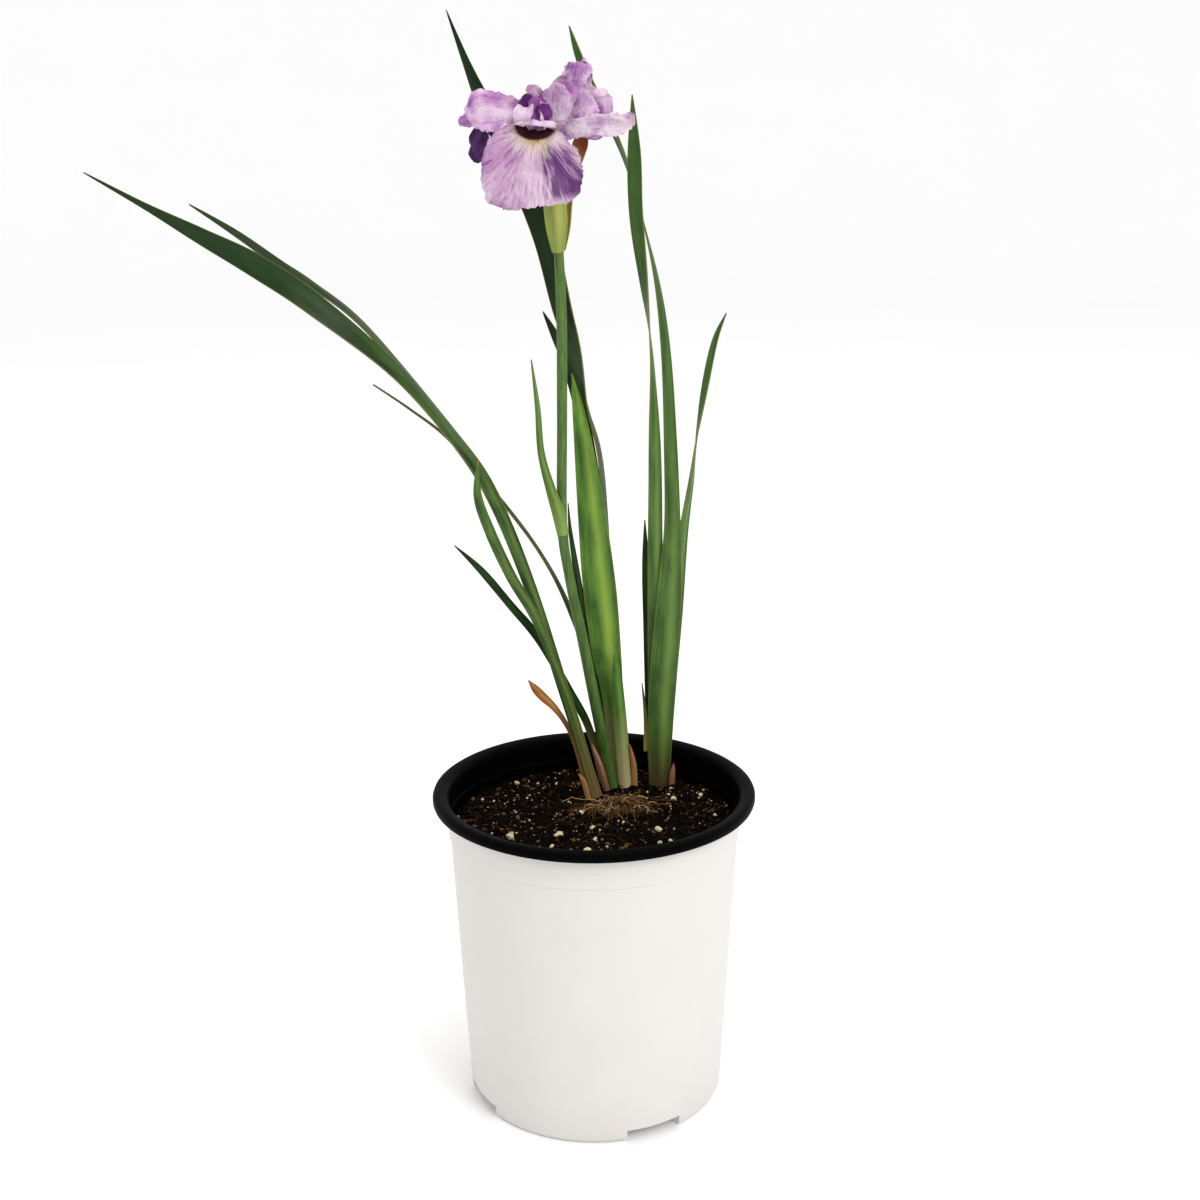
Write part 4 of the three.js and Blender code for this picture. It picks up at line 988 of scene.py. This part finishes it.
# %% Standards
petal("left_standard_petal", [
    (-25.8, 20.8, 484, 3.6), (-28.6, 21, 490, 5), (-32, 20, 495.5, 10), (-38, 18.5, 497.5, 14.5, 0, -0.5),
    (-44, 17.5, 497, 19, 0, -1), (-49.5, 17, 496.3, 19, 0, -1), (-53.6, 17, 494.4, 14), (-56, 17, 492.8, 6)],
    UPWARDS, LILAC_PETAL, nodes=["left_standard"], crumple=4.0, frill=2.6, fray=1.6, seed=4.0, across=70,
    along=90)
petal("left_tip_petal", [
    (-48, 24, 493.5, 5), (-55, 25, 493.8, 7), (-59, 25.5, 493.2, 5.6), (-61.6, 26, 492.2, 2.4)],
    UPWARDS, LILAC_PETAL, crumple=2.6, frill=2.6, fray=1.4, seed=4.5, across=24, along=36)
petal("right_standard_petal", [
    (-18.4, 23.6, 483, 4), (-14.6, 23.8, 487.4, 11), (-11, 25.2, 492, 25, 0, -1), (-6, 27, 497.5, 35, 0, -1),
    (-6, 28.5, 503, 31, 0, -1), (-6.4, 29.5, 508, 24), (-5.6, 30.3, 512, 15), (-5, 30.5, 515.5, 12),
    (-4.6, 29, 518.5, 12.5), (-4.4, 26.6, 518, 10)],
    SIDEWAYS, LILAC_PETAL, nodes=["right_standard"], crumple=4.4, frill=2.4, fray=1.4, seed=5.0, across=90,
    along=110)
petal("back_standard_petal", [
    (-22, 25.4, 483, 4), (-24, 27.4, 489, 5), (-24, 31, 495, 14, 0, 1), (-24.4, 35.6, 500, 22, 0, 1),
    (-25, 41, 502, 24, 0, 1), (-25.5, 47, 499, 18), (-25.7, 50.5, 495, 8)],
    SIDEWAYS, LILAC_PETAL, nodes=["back_standard"], crumple=3.0, frill=2.2, fray=1.4, seed=6.0)

# %% Inner lobes
petal("right_lobe_petal", [
    (-18, 20, 488, 5), (-17, 18.6, 493, 12, 10, -1), (-15.5, 18.5, 499, 15, 10, -2),
    (-15.4, 20.5, 504, 14, 0, -2),
    (-16, 21.5, 507.6, 9, 0, -1), (-16.6, 21.5, 509.4, 3)],
    SIDEWAYS, PALE_PETAL, crumple=4.0, frill=2.4, fray=1.6, seed=7.0, across=50, along=70)
petal("rolled_lobe_petal", [
    (-8, 21, 489.5, 5), (-4.5, 21, 494, 11, 0, 2.5), (-2, 22, 498.6, 12, 0, 3), (-0.6, 23, 502.4, 9, 0, 2),
    (-0.2, 23.5, 504.4, 3)],
    SIDEWAYS, LILAC_PETAL, crumple=3.4, frill=2.4, fray=1.4, seed=7.5)
petal("violet_lobe_petal", [
    (-14, 21.5, 494, 6), (-12, 22.5, 501, 10, 0, 1), (-11, 24, 506, 10, 0, 1), (-11.4, 25, 509.6, 6),
    (-11.6, 25, 511, 2)],
    SIDEWAYS, PINK_PETAL, crumple=3.2, frill=2.2, fray=1.4, seed=7.8)
petal("flap_petal", [
    (-7, 29.4, 508, 6), (-5.8, 28.6, 512, 10, -10, 1), (-4.8, 27.4, 516, 11.5, -10, 1),
    (-4.4, 26, 519.4, 10)],
    SIDEWAYS, LILAC_PETAL, crumple=2.4, frill=1.8, fray=1.4, seed=7.9, across=36, along=44)

# %% Style arms and crests
petal("front_style_lip", [
    (-24.2, 20, 490.6, 4), (-24.5, 17.6, 492.6, 9), (-24.6, 13, 493.2, 14, 0, -0.5),
    (-24.8, 9.5, 492.8, 18, 0, -0.8), (-24.9, 7, 492, 19.5, 0, -0.8), (-25, 6, 490.6, 18.5)],
    SIDEWAYS, PALE_PETAL, ["front_style"], 1.4, 1.6, 1.0, 8.0)
petal("lip_curl", [
    (-32.4, 11, 490.6, 5), (-31.6, 9.4, 493.4, 8.5, 0, -1), (-30.4, 9.6, 496, 8.5, 0, -2),
    (-29.2, 11.6, 498, 6.5, 0, -2), (-28.6, 13.6, 498.8, 3)],
    SIDEWAYS, PALE_PETAL, (), 2.2, 2.2, 1.2, 8.5)
petal("left_style_arm", [
    (-28, 24.6, 491.5, 3), (-32, 25.6, 493.5, 5), (-36, 27, 494.5, 7), (-40, 28.5, 493.5, 4)],
    (0, 1, 0), PALE_PETAL, ["left_style"], 0.6, 0.6, seed=9.0)
petal("right_style_arm", [
    (-17.4, 14.6, 491, 3.4), (-14, 13, 492.4, 5), (-9.5, 11, 493.2, 7), (-5, 8.6, 492.4, 4.5)],
    (0.5, 0.86, 0), PALE_PETAL, ["right_style"], 1.6, 1.6, seed=10.0)
petal("left_crest_petal", [
    (-27.4, 19.2, 494, 4), (-28.2, 18.8, 498, 8), (-28.6, 19, 501.6, 8), (-28.4, 19.4, 505, 2.4)],
    SIDEWAYS, DARK_CREST, ["front_left_crest"], 3.0, 2.4, 1.4, 11.0)
petal("right_crest_petal", [
    (-21.4, 17.6, 493.4, 5), (-20.8, 17.2, 496.6, 8), (-20.4, 17.6, 500.6, 3)],
    SIDEWAYS, DARK_CREST, ["front_right_crest"], 2.6, 2.2, 1.2, 12.0)
petal("pink_crest_petal", [
    (-24.4, 18.6, 493.5, 6), (-24.2, 18.2, 498, 9, 0, 1), (-24, 18.4, 501.6, 8, 0, 1), (-24, 18.6, 504, 3)],
    SIDEWAYS, PINK_PETAL, (), 3.0, 2.2, 1.2, 13.0)
petal("top_lobe_petal", [
    (-25, 21, 497, 6), (-25.2, 21, 501.6, 9, 0, 1), (-25.4, 20, 505, 9.4, 0, 1), (-25.4, 19.4, 507.6, 6.5),
    (-25.2, 19, 509, 2.5)],
    SIDEWAYS, PALE_PETAL, (), 3.0, 2.4, 1.4, 13.5)
print("petals placed")

# %% [markdown]
# ## Floor and light
# The plant stands on a plain white floor that curves up far away into a white wall all round, so that no
# horizon shows. A flat plane would show its far edge, so a disc's edge is extruded up along an arc instead.
# One large soft light stands to the right and in front, a weaker one hangs above, and the rest comes from a
# white sky.

# %% Floor
FLOOR_RADIUS, SWEEP_RADIUS = 5.0, 1.2

clear_selection()
bpy.ops.mesh.primitive_circle_add(vertices=96, radius=FLOOR_RADIUS, fill_type="NGON")
floor = bpy.context.object
floor.name = "floor"
bpy.ops.object.mode_set(mode="EDIT")
bpy.ops.mesh.select_all(action="SELECT")
bpy.ops.mesh.region_to_loop()
last = (FLOOR_RADIUS, 0.0)
for k in range(1, 10):
    angle = math.radians(10 * k)
    now = (FLOOR_RADIUS + SWEEP_RADIUS * math.sin(angle), SWEEP_RADIUS * (1 - math.cos(angle)))
    bpy.ops.mesh.extrude_region_move(TRANSFORM_OT_translate={"value": (0, 0, now[1] - last[1])})
    bpy.ops.transform.resize(value=(now[0] / last[0], now[0] / last[0], 1), center_override=(0, 0, now[1]))
    last = now
bpy.ops.mesh.extrude_region_move(TRANSFORM_OT_translate={"value": (0, 0, 0.3)})
bpy.ops.object.mode_set(mode="OBJECT")
paper, tree, shader = start("white_paper_floor", Roughness=0.9)
place = add(tree, "ShaderNodeTexCoord", out=3)
fleck = add(tree, "ShaderNodeTexNoise", {"Vector": place, "Scale": 3.0})
tree.links.new(mixed(tree, fleck, "#fbfbfb", "#fdfdfd"), shader.inputs["Base Color"])
floor.data.materials.append(paper)
select_only(floor)
bpy.ops.object.shade_smooth()
print("floor", 2 * (FLOOR_RADIUS + SWEEP_RADIUS), "m across")

# %% Light
world = bpy.data.worlds.new("white_sky")
bpy.context.scene.world = world
world.use_nodes = True
world.node_tree.nodes["Background"].inputs["Color"].default_value = (1, 1, 1, 1)
world.node_tree.nodes["Background"].inputs["Strength"].default_value = 0.82


def soft_light(name, place, size, power):
    data = bpy.data.lights.new(name, "AREA")
    data.shape = "DISK"
    data.size = size
    data.energy = power
    lamp = bpy.data.objects.new(name, data)
    lamp.location = place
    lamp.rotation_mode = "QUATERNION"
    lamp.rotation_quaternion = (Vector(place) - Vector((0, 0, 0.25))).to_track_quat("Z", "Y")
    lamp.visible_camera = False
    bpy.context.collection.objects.link(lamp)


soft_light("key_light", (1.3, -1.5, 1.7), 1.1, 16)
soft_light("top_light", (0.1, 0.3, 2.3), 1.4, 8)
